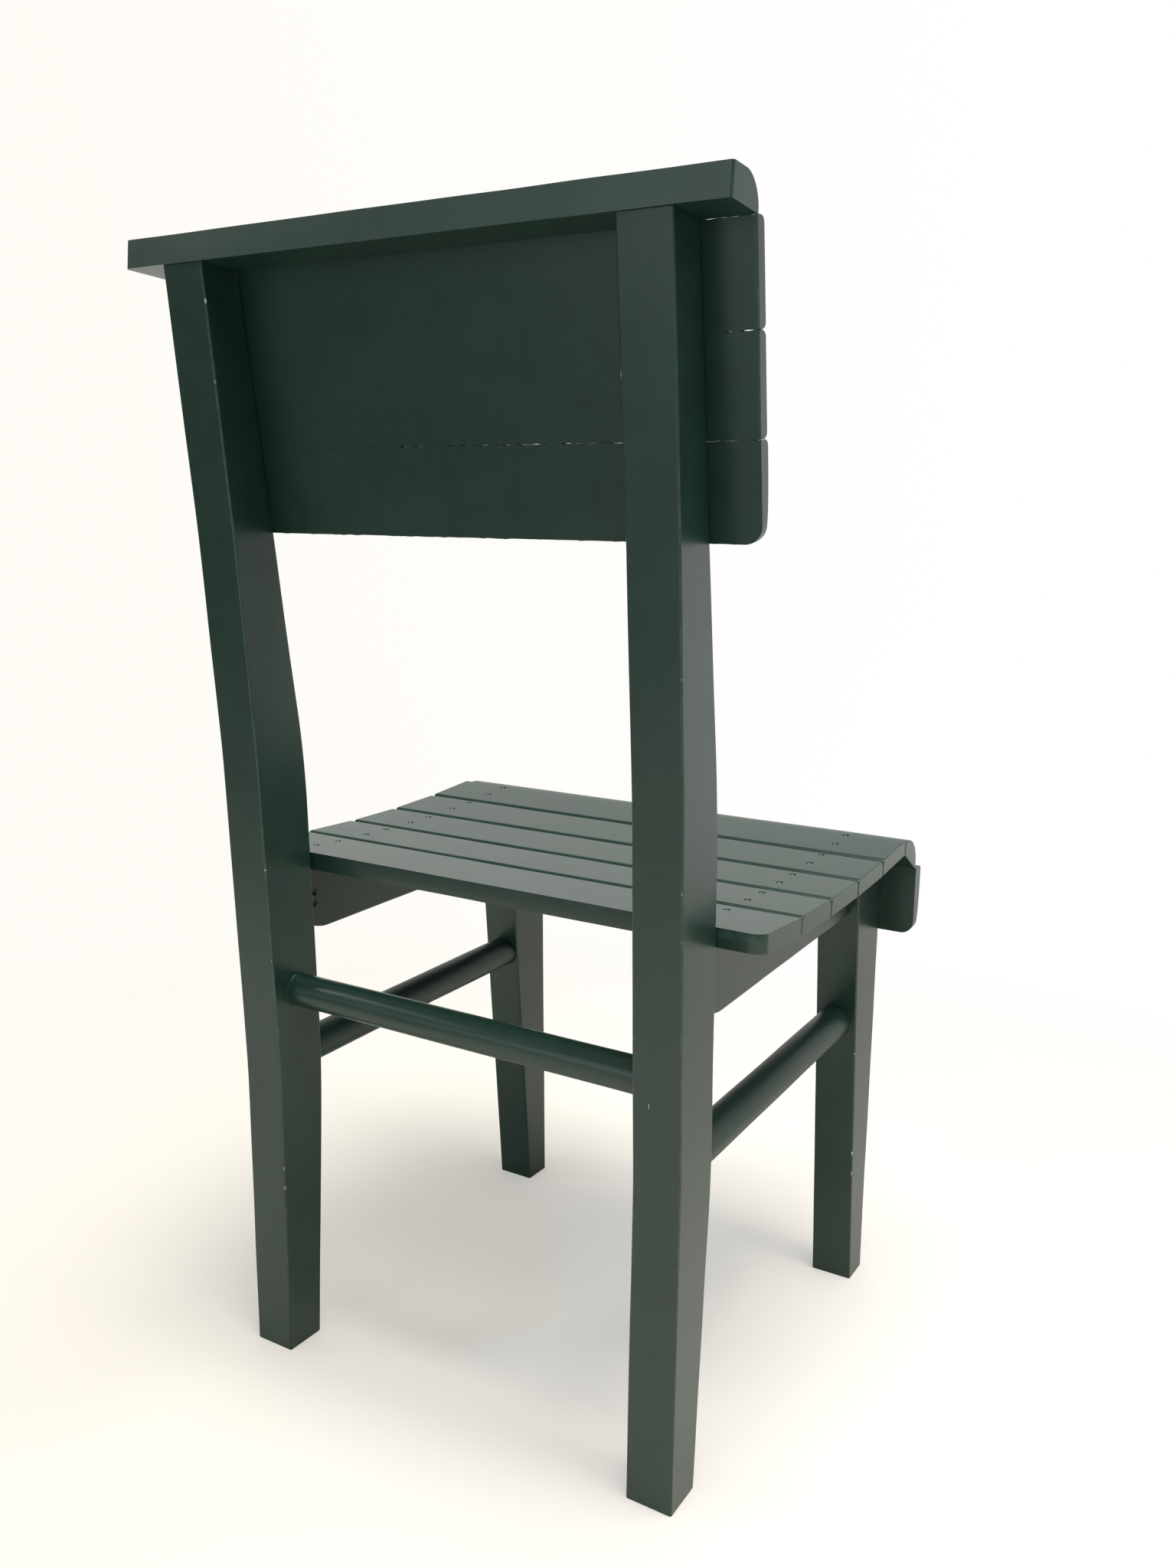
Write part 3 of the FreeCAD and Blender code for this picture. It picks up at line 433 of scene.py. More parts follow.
# A painted highlight: a pale mottled patch on the rounded rear right corner of the seat
SEAT_CORNER_HIGHLIGHTS = (
    ((-240.0, 138.0, 449.0), (8.0, 8.0, 7.0)),
    ((-220.0, 141.0, 447.0), (20.0, 5.0, 4.0)),
)


def brushed_paint(name, along, relief, sheen, marked_spots=(), highlight_spots=()):
    """Satin paint brushed along one axis: 0, 1 or 2 for X, Y or Z."""
    skin = bpy.data.materials.new(name)
    tree = empty_tree(skin)
    place = tree.nodes.new("ShaderNodeTexCoord").outputs["Object"]
    stretch = list(EVEN)
    stretch[along] = DRAWN_OUT
    brush = stretched_noise(tree, place, stretch, *BRUSH)
    grain = stretched_noise(tree, place, stretch, *GRAIN)
    film = stretched_noise(tree, place, EVEN, *FILM)
    cloud = stretched_noise(tree, place, EVEN, *CLOUD)
    peel = stretched_noise(tree, place, EVEN, *PEEL)
    # Wear on the arrises, in patches and specks
    edge = tree.nodes.new("ShaderNodeAttribute")
    edge.attribute_name = ARRIS_MARK
    arris = edge.outputs["Fac"]
    patchy = stretched_noise(tree, place, EVEN, *PATCHES)
    worn = maths(tree, "MULTIPLY", arris, spread(tree, patchy, *WORN_PATCHES))
    speck = stretched_noise(tree, place, EVEN, *SPECKS)
    chipped = maths(tree, "MULTIPLY", arris, spread(tree, speck, *CHIPPED_SPECKS))
    chipped = maths(tree, "MAXIMUM", chipped, chip_or_highlight_mask(tree, place, marked_spots))
    # Colour
    uneven = maths(tree, "ADD", film, cloud)
    tone = spread(tree, uneven, *TONE_SPAN)
    green = colour_mix(tree, tone, opaque(GREEN, DEEPEST_GREEN), opaque(GREEN, PALEST_GREEN))
    # Painted highlight: patches of the paler green at the given highlight spots
    highlight_blotches = spread(tree, cloud, *HIGHLIGHT_BLOTCHES)
    highlight_patch = maths(tree, "MULTIPLY", chip_or_highlight_mask(tree, place, highlight_spots), highlight_blotches)
    green = colour_mix(tree, maths(tree, "MAXIMUM", worn, highlight_patch), green, opaque(WORN_AND_HIGHLIGHT_GREEN))
    green = colour_mix(tree, chipped, green, opaque(PALE_CHIP))
    # Sheen and relief
    rough = spread(tree, maths(tree, "ADD", uneven, brush), *SHEEN_SPAN, *sheen)
    height = maths(tree, "MULTIPLY", brush, BRUSH_RISE)
    height = maths(tree, "ADD", height, maths(tree, "MULTIPLY", grain, GRAIN_RISE))
    height = maths(tree, "ADD", height, maths(tree, "MULTIPLY", peel, PEEL_RISE))
    height = maths(tree, "SUBTRACT", height, chipped)
    bump = node_at(tree, "ShaderNodeBump", Height=height, Distance=FILM_DEPTH, Strength=relief)
    paint = node_at(tree, "ShaderNodeBsdfPrincipled", Base_Color=green, Roughness=rough,
                    IOR=PAINT_IOR, Normal=bump.outputs[0])
    node_at(tree, "ShaderNodeOutputMaterial", Surface=paint.outputs[0])
    return skin


PAINT_ACROSS = brushed_paint("green_paint_x", 0, 0.22, SATIN, highlight_spots=SEAT_CORNER_HIGHLIGHTS)
PAINT_DEEP = brushed_paint("green_paint_y", 1, 0.28, SATIN)
PAINT_UP = brushed_paint("green_paint_z", 2, 0.34, SATIN, marked_spots=UPRIGHT_CHIPS)
PAINT_RODS = brushed_paint("green_paint_rods", 1, 0.2, RUBBED)
print("four brushed paints, the first with", len(PAINT_ACROSS.node_tree.nodes), "nodes")

# %% [markdown]
# Every board of this chair is an outline sawn from the side and as wide as the board is across.
# So one helper makes them all: a face from the outline's corners, extruded across. Its edges
# are then rounded with the bevel operator, whose offset is the radius on a square edge.
# Hand-planed boards are never quite flat, so rings are cut along a board and its points moved
# by a tenth of a millimetre or two with noise: reflections then bend as they do on real paint.
# Which edges are rounded is told by a small test on an edge's middle and its direction.

# %% Helpers for sawn boards
SIDES = {"left": 1, "right": -1}
BOTH = (-1, 1)
# How close counts as touching, and how far along or off an axis an edge may run
TOUCH = 0.01
ALONG = 0.99
MOSTLY = 0.9
HALF_WAY = 0.5
HARDLY = 0.1
LEAST_BEND = 0.2


def sawn(outline, wide):
    """A board in millimetres: an outline of (back, up) corners, extruded across X."""
    bm = bmesh.new()
    corners = [bm.verts.new((-wide / 2, back, up)) for back, up in outline]
    face = bm.faces.new(corners)
    made = bmesh.ops.extrude_face_region(bm, geom=[face])
    moved = [item for item in made["geom"] if isinstance(item, bmesh.types.BMVert)]
    bmesh.ops.translate(bm, verts=moved, vec=(wide, 0, 0))
    bmesh.ops.recalc_face_normals(bm, faces=bm.faces)
    return bm


def bevel(bm, edges, offset, segments):
    """Rounds edges and gives back the new faces."""
    made = bmesh.ops.bevel(bm, geom=edges, offset=offset, offset_type="OFFSET", affect="EDGES",
                           segments=segments, profile=0.5, material=-1, clamp_overlap=True)
    return made["faces"]


def soften(bm, radius, wanted, segments=4, worn=False):
    """Rounds the edges that a test picks out by their middle and direction."""
    layers = bm.verts.layers.float
    mark = layers.get(ARRIS_MARK) or layers.new(ARRIS_MARK)
    picked = []
    for edge in bm.edges:
        first, second = (corner.co for corner in edge.verts)
        way = (second - first).normalized()
        if edge.calc_face_angle(0) > LEAST_BEND and wanted((first + second) / 2, way):
            picked.append(edge)
    rounds = set(bevel(bm, picked, radius, segments))
    for face in rounds:
        for corner in face.verts:
            on_crown = all(other in rounds for other in corner.link_faces)
            corner[mark] = max(corner[mark], 1.0 if worn and on_crown else 0.0)


def soften_ends(bm, wide, radius, segments):
    """Rounds and wears the edges about a board's two end faces."""
    soften(bm, radius,
           lambda spot, way: abs(abs(spot.x) - wide / 2) < TOUCH and abs(way.x) < HARDLY,
           segments, True)


def cut_plane(bm, point, normal, keep_under=False):
    """Cuts a board's faces with a plane, and can take off what lies beyond it."""
    bmesh.ops.bisect_plane(bm, geom=bm.verts[:] + bm.edges[:] + bm.faces[:],
                           plane_co=point, plane_no=normal, clear_outer=keep_under)


def cut_rings(bm, axis, step):
    """Cuts rings along a board, a step apart, so that it can take small waves."""
    spots = [corner.co[axis] for corner in bm.verts]
    count = int((max(spots) - min(spots)) / step)
    normal = Vector([1.0 if k == axis else 0.0 for k in range(3)])
    for ring in range(1, count + 1):
        spot = min(spots) + ring * (max(spots) - min(spots)) / (count + 1)
        cut_plane(bm, normal * spot, normal)


def waver(bm, amount, reach, seed):
    """Moves each point along its normal by noise of a given reach."""
    bm.normal_update()
    shifts = []
    for corner in bm.verts:
        spot = corner.co / reach + Vector((seed, 0.5 * seed, 0))
        shifts.append((corner, corner.normal * (noise.noise(spot) * amount)))
    for corner, shift in shifts:
        corner.co += shift


print("helpers for sawn boards")

# %% [markdown]
# Each nail was punched below the surface, stopped and painted over, which leaves a round dish
# a little over six millimetres wide. A small ball is taken out of the board with a Boolean
# modifier, which is applied at once, so the dish is in the mesh and catches the light by itself.

# %% Nail dishes
DISH_BALL = 3.4
DISH_DEPTH = 2.1
BALL_SIDES = 28
BALL_RINGS = 18
BOARD_NAIL_GAP = 30.0


def press_dishes(piece, dishes):
    """Takes balls out of a board at (point, outward direction) pairs."""
    bm = bmesh.new()
    for point, outward in dishes:
        middle = Vector(point) + Vector(outward) * (DISH_BALL - DISH_DEPTH)
        bmesh.ops.create_uvsphere(bm, u_segments=BALL_SIDES, v_segments=BALL_RINGS,
                                  radius=DISH_BALL, matrix=Matrix.Translation(middle))
    mesh = bpy.data.meshes.new("balls")
    bm.to_mesh(mesh)
    bm.free()
    balls = bpy.data.objects.new("balls", mesh)
    bpy.context.scene.collection.objects.link(balls)
    cut = piece.modifiers.new("dishes", "BOOLEAN")
    cut.operation = "DIFFERENCE"
    cut.solver = "EXACT"
    cut.object = balls
    ready = piece.evaluated_get(bpy.context.evaluated_depsgraph_get())
    dished = bpy.data.meshes.new_from_object(ready)
    piece.modifiers.clear()
    piece.data = dished
    bpy.data.objects.remove(balls)


def front_dishes(centre, thick, middle):
    """The dishes in a board's front face: two near each end, one above the other."""
    return [((side * centre, -thick, middle + above * BOARD_NAIL_GAP / 2), (0, -1, 0))
            for side in BOTH for above in BOTH]


dish_half = math.sqrt(DISH_BALL ** 2 - (DISH_BALL - DISH_DEPTH) ** 2)
print("a dish is", round(2 * dish_half, 2), "mm wide")

# %% [markdown]
# A board that is sawn, rounded and waved becomes a piece: it is moved to its place in the
# frame, painted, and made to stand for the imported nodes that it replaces. Smooth shading would
# bend the light across a whole flat face, so a Weighted Normal modifier keeps the large faces
# flat and lets only the rounds shade softly.

# %% Finished pieces
SHARP_TURN = math.radians(35)


def add_piece(name, nodes, bm, place, skin, dishes=()):
    """A finished piece in the frame that stands for its nodes."""
    mesh = bpy.data.meshes.new(name)
    bm.to_mesh(mesh)
    bm.free()
    piece = bpy.data.objects.new(name, mesh)
    bpy.context.scene.collection.objects.link(piece)
    if dishes:
        press_dishes(piece, dishes)
    piece.data.transform(Matrix.Scale(MM, 4) @ place)
    piece.data.materials.clear()
    piece.data.materials.append(skin)
    piece.data.shade_smooth()
    piece.data.set_sharp_from_angle(angle=SHARP_TURN)
    even = piece.modifiers.new("even_light", "WEIGHTED_NORMAL")
    even.keep_sharp = True
    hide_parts(*nodes)
    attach(piece, "root")
    return piece


def tell(piece):
    """Says how many faces a piece has."""
    print(piece.name, len(piece.data.polygons), "faces")


print("helpers for finished pieces")

# %% [markdown]
# The rear posts are each sawn from one board: upright to the knee, bent back above the seat,
# and thinner toward the foot and the head. The bends are long arcs. A bevel makes them too: on
# an edge that turns by an angle, the offset that gives a radius is the radius times the tangent
# of half the angle.

# %% Rear posts
POST_THICK = 39.0
REAR_WIDTH = 419.0
POST_CENTRE = (REAR_WIDTH - POST_THICK) / 2
POST_TOP = 907.5
FOOT_FRONT = -38.5
KNEE = (-41.5, 260.0)
WAIST = (-21.0, 530.0)
HEEL_KNEE = (11, 265)
HEEL_WAIST = (35.5, 540.0)
CHEST_TURN = math.radians(10.7)
HEAD_THICK = 36.4
HEAD_FRONT = WAIST[0] + (POST_TOP - WAIST[1]) * math.tan(CHEST_TURN)
HEAD_REAR = HEAD_FRONT + HEAD_THICK
NECK_SHARE = 0.49
NECK_HOLLOW = 2.3
NECK = (HEEL_WAIST[0] + NECK_SHARE * (HEAD_REAR - HEEL_WAIST[0]) - NECK_HOLLOW,
        HEEL_WAIST[1] + NECK_SHARE * (POST_TOP - HEEL_WAIST[1]))
BEND_RADIUS = 700.0
BEND_SEGMENTS = 6
LEAST_TURN = math.radians(1.2)
LEG_TOE = 428.4
# The front feet's toes give the depth at which the rear feet's rear edges stand
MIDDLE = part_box("front_leg_left")[0].y / MM + LEG_TOE
ARRIS = 1.6
FOOT_EASE = 0.8
UPRIGHT_RINGS = 18
# How far a board's faces waver, and over what length
UPRIGHT_WAVES = (0.3, 70)


def runs_across(way):
    """True for an edge that runs along X."""
    return abs(way.x) > ALONG


def bend_edges(bm, height):
    """Turns a post's corners below its head and above its foot into long arcs."""
    while True:
        found = [edge for edge in bm.edges
                 if runs_across((edge.verts[0].co - edge.verts[1].co).normalized())
                 and TOUCH < edge.verts[0].co.z < height - TOUCH
                 and edge.calc_face_angle(0) > LEAST_TURN]
        if not found:
            return
        edge = found[0]
        reach = BEND_RADIUS * math.tan(edge.calc_face_angle(0) / 2)
        bevel(bm, [edge], reach, BEND_SEGMENTS)


def ease_foot(bm):
    """Rounds and wears the edges of the end that stands on the floor."""
    soften(bm, FOOT_EASE, lambda spot, way: spot.z < TOUCH, 2, True)


def rear_post(side, sign):
    outline = [(0, 0), HEEL_KNEE, HEEL_WAIST, NECK, (HEAD_REAR, POST_TOP), (HEAD_FRONT, POST_TOP),
               WAIST, KNEE, (FOOT_FRONT, 0)]
    bm = sawn(outline, POST_THICK)
    bend_edges(bm, POST_TOP)
    soften(bm, ARRIS, lambda spot, way: abs(way.x) < HARDLY and abs(way.z) > HALF_WAY, 4, True)
    ease_foot(bm)
    cut_rings(bm, 2, UPRIGHT_RINGS)
    waver(bm, *UPRIGHT_WAVES, 3 * sign)
    place = Matrix.Translation((sign * POST_CENTRE, MIDDLE, 0))
    return add_piece("post_" + side, ("rear_post_" + side,), bm, place, PAINT_UP)


for side_name, side_sign in SIDES.items():
    tell(rear_post(side_name, side_sign))

# %% [markdown]
# The front legs are straight boards that taper on their rear face. Their heads are sawn to the
# underside of the last seat slat and of the nosing, which here are two cuts with a plane.

# %% Front legs
LEG_THICK = 39.5
LEG_CENTRE = POST_CENTRE + 1.75
LEG_HEEL = 395.2
# Depths of the leg's two faces at the height of the gauge, and the spare length for the cuts
LEG_GAUGE = 435.0
LEG_FACE = 399.8
LEG_REAR = 334.7
LEG_SPARE = 40
SEAT_LOW = 448.0
SEAT_DIP = -132.0
SEAT_RADIUS = 1700.0
SLAT_THICK = 15.0
SLAT_WIDE = 63.0
SLAT_PITCH = 64.3
REAR_SLAT_WIDE = 74.0
SLAT_TWO_STEP = 3.8
# Lets a slat sit a hair into the hollow of the rails, so that no light shows under it
SLAT_SINK = 0.05
LAST_ROW = 4
NOSE_START = -SLAT_PITCH + SLAT_WIDE / 2
# The cut under the nosing falls by its drop over its run
CANT_RUN = 34.5
CANT_DROP = 23.0


def slat_half(row):
    """Half a slat's width; the rear slat is wider than the others."""
    return (REAR_SLAT_WIDE if row == 0 else SLAT_WIDE) / 2


def slat_turn(row):
    """Angle from the lowest line of the seat forward to the middle of a slat."""
    step = SLAT_TWO_STEP + (row - 1) * SLAT_PITCH
    if row == 0:
        step = SLAT_TWO_STEP - SLAT_PITCH + (SLAT_WIDE - REAR_SLAT_WIDE) / 2
    return step / SEAT_RADIUS


def slat_place(row):
    """The frame of a slat, with its origin under the middle of its lower face."""
    turn = slat_turn(row)
    reach = math.sqrt((SEAT_RADIUS + SLAT_THICK) ** 2 - slat_half(row) ** 2) - SLAT_SINK
    back = MIDDLE + SEAT_DIP - reach * math.sin(turn)
    up = SEAT_LOW + SEAT_RADIUS - reach * math.cos(turn)
    return Matrix.Translation((0, back, up)) @ Matrix.Rotation(-turn, 4, "X")


def leg_face(up):
    """Front face of a front leg at a height."""
    return -LEG_TOE + (LEG_TOE - LEG_FACE) * up / LEG_GAUGE


def leg_rear(up):
    """Rear face of a front leg at a height."""
    return -LEG_HEEL + (LEG_HEEL - LEG_REAR) * up / LEG_GAUGE


def saw_head(bm, low, far):
    """Saws off a leg's head along a line through two (along, up) points of the last slat."""
    last = Matrix.Translation((0, -MIDDLE, 0)) @ slat_place(LAST_ROW)
    along = Vector((0, far[0] - low[0], far[1] - low[1])).normalized()
    upward = Vector((0, -along.z, along.y))
    cut_plane(bm, last @ Vector((0, *low)), last.to_3x3() @ upward, keep_under=True)
    rim = [edge for edge in bm.edges if edge.is_boundary]
    bmesh.ops.holes_fill(bm, edges=rim, sides=0)


def front_leg(side, sign):
    high = SEAT_LOW + LEG_SPARE
    outline = [(-LEG_TOE, 0), (-LEG_HEEL, 0), (leg_rear(high), high), (leg_face(high), high)]
    bm = sawn(outline, LEG_THICK)
    saw_head(bm, (NOSE_START, 0), (0, 0))
    saw_head(bm, (NOSE_START - CANT_RUN, -CANT_DROP), (NOSE_START, 0))
    soften(bm, ARRIS, lambda spot, way: abs(way.z) > MOSTLY, 4, True)
    ease_foot(bm)
    cut_rings(bm, 2, UPRIGHT_RINGS)
    waver(bm, *UPRIGHT_WAVES, 7 * sign)
    place = Matrix.Translation((sign * LEG_CENTRE, MIDDLE, 0))
    return add_piece("leg_" + side, ("front_leg_" + side,), bm, place, PAINT_UP)


for side_name, side_sign in SIDES.items():
    tell(front_leg(side_name, side_sign))

# %% [markdown]
# The side rails carry the seat. The top edge of each is hollowed to the seat's curve, which
# gives the seat its dish, and the lower rear corner is rounded off where it meets the post.

# %% Side rails
RAIL_THICK = 22.0
RAIL_CENTRE = POST_CENTRE + 1.2
RAIL_REAR_UP = SEAT_LOW - SLAT_THICK - 55.1
RAIL_FORE_UP = SEAT_LOW - SLAT_THICK - 42.9
# Heights at which the top edge meets the post and the leg, and below which an edge is a lower one
RAIL_TOP_REAR = 430
RAIL_TOP_FORE = 440
RAIL_LOWER = 400
HEEL_RISE = 9.0
HEEL_RUN = 13.0
HEEL_ROUND_SHARE = 0.95
ARC_STEPS = 16
RAIL_RINGS = 18
RAIL_WAVES = (0.3, 60)
TOE_IN = 12
TOE_LIFT = 24.1
TOE_GAP = 10.3


def post_face(up):
    """Front face of a rear post between its knee and its waist."""
    return KNEE[0] + (WAIST[0] - KNEE[0]) * (up - KNEE[1]) / (WAIST[1] - KNEE[1])


def seat_line(back):
    """Height of the rail's hollow top edge."""
    radius = SEAT_RADIUS + SLAT_THICK
    return SEAT_LOW + SEAT_RADIUS - math.sqrt(radius ** 2 - (back - SEAT_DIP) ** 2)


def toe_points():
    """Back and up of the toe nails in a rail, two near each end."""
    points = []
    for step in (0, 1):
        up = RAIL_REAR_UP + TOE_LIFT + TOE_GAP * step
        points.append((post_face(up) - TOE_IN, up))
        points.append((leg_rear(up) + TOE_IN, up))
    return points


def side_rail(side, sign):
    heel_up = RAIL_REAR_UP + HEEL_RISE
    heel_back = post_face(heel_up) - HEEL_RUN
    rear = post_face(RAIL_TOP_REAR)
    fore = leg_rear(RAIL_TOP_FORE)
    outline = [(post_face(heel_up), heel_up), (heel_back, RAIL_REAR_UP),
               (leg_rear(RAIL_FORE_UP), RAIL_FORE_UP)]
    for step in range(ARC_STEPS + 1):
        back = fore + (rear - fore) * step / ARC_STEPS
        outline.append((back, seat_line(back)))
    bm = sawn(outline, RAIL_THICK)
    soften(bm, HEEL_ROUND_SHARE * math.hypot(HEEL_RUN, HEEL_RISE),
           lambda spot, way: runs_across(way) and abs(spot.y - heel_back) < TOUCH
           and spot.z < RAIL_LOWER, 8)
    soften(bm, ARRIS,
           lambda spot, way: abs(way.x) < HARDLY and abs(way.y) > HALF_WAY
           and spot.z < RAIL_LOWER, 4, True)
    cut_rings(bm, 1, RAIL_RINGS)
    waver(bm, *RAIL_WAVES, 11 * sign)
    dishes = [((-sign * RAIL_THICK / 2, back, up), (-sign, 0, 0)) for back, up in toe_points()]
    place = Matrix.Translation((sign * RAIL_CENTRE, MIDDLE, 0))
    return add_piece("rail_" + side, ("side_rail_" + side,), bm, place, PAINT_DEEP, dishes)


for side_name, side_sign in SIDES.items():
    tell(side_rail(side_name, side_sign))

# %% [markdown]
# The three stretchers are rods planed round by hand, let into the posts and legs. A cylinder
# gives the rod. Noise that is long along the rod leaves it faintly flat in places, so the band
# of light along it wanders. Where a rod enters its post, paint has gathered in a small fillet.

# %% Stretchers
HOUSING = 15.0
ROD_SIDES = 56
ROD_RINGS = 8
ROD_WAVE_LONG = 110
ROD_WAVE_ROUND = 1.3
ROD_WAVES = 0.4
ROD_SHY = 0.1
FILLET_RUN = 2.0
FILLET_RISE = 0.6
FILLET_RINGS = (0.0, 0.8, 1.6, FILLET_RUN)
REAR_ROD = 28.4
REAR_ROD_FRONT = 11.0
REAR_ROD_UP = 334.8
SIDE_ROD = 30.6
SIDE_ROD_REAR_UP = 269.3
SIDE_ROD_FORE_UP = 279.7


def rod(size, length, seed):
    """A rod along X, cut into rings and slightly uneven, with a fillet of paint at each joint."""
    bm = bmesh.new()
    turn = Matrix.Rotation(math.pi / 2, 4, "Y")
    bmesh.ops.create_cone(bm, cap_ends=True, cap_tris=False, segments=ROD_SIDES,
                          radius1=size / 2, radius2=size / 2, depth=length, matrix=turn)
    cut_rings(bm, 0, ROD_RINGS)
    joint = length / 2 - HOUSING
    for sign in BOTH:
        for back_off in FILLET_RINGS:
            cut_plane(bm, (sign * (joint - back_off), 0, 0), (1, 0, 0))
    for corner in bm.verts:
        outward = Vector((0, corner.co.y, corner.co.z)).normalized()
        spot = Vector((corner.co.x / ROD_WAVE_LONG + seed, outward.y * ROD_WAVE_ROUND,
                       outward.z * ROD_WAVE_ROUND))
        fillet = min(1.0, max(0.0, (abs(corner.co.x) - joint + FILLET_RUN) / FILLET_RUN))
        rise = noise.noise(spot) * ROD_WAVES - ROD_SHY + FILLET_RISE * fillet ** 2
        corner.co += outward * rise
    return bm


def rear_stretcher():
    bm = rod(REAR_ROD, REAR_WIDTH - 2 * POST_THICK + 2 * HOUSING, 2.5)
    place = Matrix.Translation((0, MIDDLE - REAR_ROD_FRONT, REAR_ROD_UP))
    return add_piece("stretcher_rear", ("rear_stretcher",), bm, place, PAINT_ACROSS)


def side_stretcher(side, sign):
    rear = Vector((0, post_face(SIDE_ROD_REAR_UP), SIDE_ROD_REAR_UP))
    fore = Vector((0, leg_rear(SIDE_ROD_FORE_UP), SIDE_ROD_FORE_UP))
    run = rear - fore
    bm = rod(SIDE_ROD, run.length + 2 * HOUSING, 5.5 * sign)
    turn = run.to_track_quat("X", "Z").to_matrix().to_4x4()
    middle = (rear + fore) / 2 + Vector((sign * POST_CENTRE, MIDDLE, 0))
    place = Matrix.Translation(middle) @ turn
    return add_piece("stretcher_" + side, ("side_stretcher_" + side,), bm, place, PAINT_RODS)


tell(rear_stretcher())
for side_name, side_sign in SIDES.items():
    tell(side_stretcher(side_name, side_sign))

# %% [markdown]
# Five boards make the seat. Four have well rounded upper edges, so the seams between them are
# dark V grooves. The rear one is wider, its two rear corners are cut to a quarter circle, and
# its rear edge is crisp, with a narrow bevel below.

# %% Seat slats
ROWS = ("one", "two", "three", "four", "five")
NAIL_LEADS = (5.6, 3.2, 4.5, 8.2, 8.0)
SEAT_NAIL_GAP = 28.5
SEAT_LONG = REAR_WIDTH + 70.0
SLAT_ROUND = 4.5
SLAT_END_ROUND = 1.3
SLAT_EASE = 0.8
REAR_BEVEL_IN = 1.5
REAR_BEVEL_UP = 6
REAR_CORNER = 11
CORNER_BAND = 2
SEAT_RINGS = 12
SEAT_WAVES = (0.25, 55)


def seat_dishes(row):
    """The dishes over a slat's four nails, two over each rail."""
    return [((side * RAIL_CENTRE, -NAIL_LEADS[row] + ahead * SEAT_NAIL_GAP / 2, SLAT_THICK),
             (0, 0, 1)) for side in BOTH for ahead in BOTH]


def seat_slat(row):
    half = slat_half(row)
    outline = [(-half, 0), (half, 0), (half, SLAT_THICK), (-half, SLAT_THICK)]
    if row == 0:
        outline[1:2] = [(half - REAR_BEVEL_IN, 0), (half, REAR_BEVEL_UP)]
    bm = sawn(outline, SEAT_LONG)
    soften(bm, SLAT_ROUND,
           lambda spot, way: runs_across(way) and spot.z > SLAT_THICK - TOUCH
           and (spot.y < -TOUCH or row > 0), 5)
    if row == 0:
        soften(bm, REAR_CORNER,
               lambda spot, way: abs(abs(spot.x) - SEAT_LONG / 2) < TOUCH
               and spot.y > half - CORNER_BAND and abs(way.x) < HARDLY, 9)
    soften_ends(bm, SEAT_LONG, SLAT_END_ROUND, 4)
    soften(bm, SLAT_EASE,
           lambda spot, way: spot.z > SLAT_THICK - TOUCH or spot.z < TOUCH, 3, True)
    cut_rings(bm, 0, SEAT_RINGS)
    waver(bm, *SEAT_WAVES, 3.1 * row + 1)
    word = ROWS[row]
    return add_piece("slat_" + word, ("seat_slat_" + word,), bm, slat_place(row), PAINT_ACROSS,
                     seat_dishes(row))


for slat_row in range(len(ROWS)):
    tell(seat_slat(slat_row))

# %% [markdown]
# A nosing finishes the seat in front: a board that lies a little lower than the slats, with a
# large quarter round over its front and a sloping underside that sits on the heads of the
# legs. Below it an apron board covers the fronts of the legs.

# %% Nosing and apron
NOSE_STEP = 3.5
NOSE_REACH = 35.2
NOSE_ROUND = 28.0
NOSE_SEAM_ROUND = 2.5
NOSE_FRONT_UP = -18.5
NOSE_TIP = (-66.9, -23.6)
NOSE_NAIL_TURN = math.radians(30)
APRON_UP = SEAT_LOW - 84.0
APRON_HIGH = 65.5
APRON_THICK = 15.0
APRON_LONG = REAR_WIDTH + 71.0
APRON_CORNER = 12
APRON_ROUND = 7.5
APRON_END_ROUND = 3
BOARD_EASE = 0.9
UNDER_EASE = 0.8
BOARD_RINGS = 12
BOARD_WAVES = (0.2, 55)


def seat_nosing():
    top = SLAT_THICK - NOSE_STEP
    front = NOSE_START - NOSE_REACH
    outline = [(NOSE_START, 0), (NOSE_START, top), (front, top), (front, NOSE_FRONT_UP), NOSE_TIP]
    bm = sawn(outline, SEAT_LONG)
    soften(bm, NOSE_ROUND,
           lambda spot, way: runs_across(way) and spot.z > top - TOUCH
           and spot.y < NOSE_START - TOUCH, 14)
    soften(bm, NOSE_SEAM_ROUND,
           lambda spot, way: runs_across(way) and spot.z > top - TOUCH
           and spot.y > NOSE_START - TOUCH, 4)
    soften_ends(bm, SEAT_LONG, BOARD_EASE, 3)
    soften(bm, UNDER_EASE,
           lambda spot, way: runs_across(way) and spot.z < NOSE_FRONT_UP + TOUCH, 3, True)
    cut_rings(bm, 0, BOARD_RINGS)
    waver(bm, *BOARD_WAVES, 21)
    outward = Vector((0, -math.sin(NOSE_NAIL_TURN), math.cos(NOSE_NAIL_TURN)))
    middle = Vector((0, front + NOSE_ROUND, top - NOSE_ROUND)) + outward * NOSE_ROUND
    dishes = [(middle + Vector((side * LEG_CENTRE, 0, 0)), outward) for side in BOTH]
    nodes = ("seat_nosing", "nosing_nails")
    return add_piece("nosing", nodes, bm, slat_place(LAST_ROW), PAINT_ACROSS, dishes)


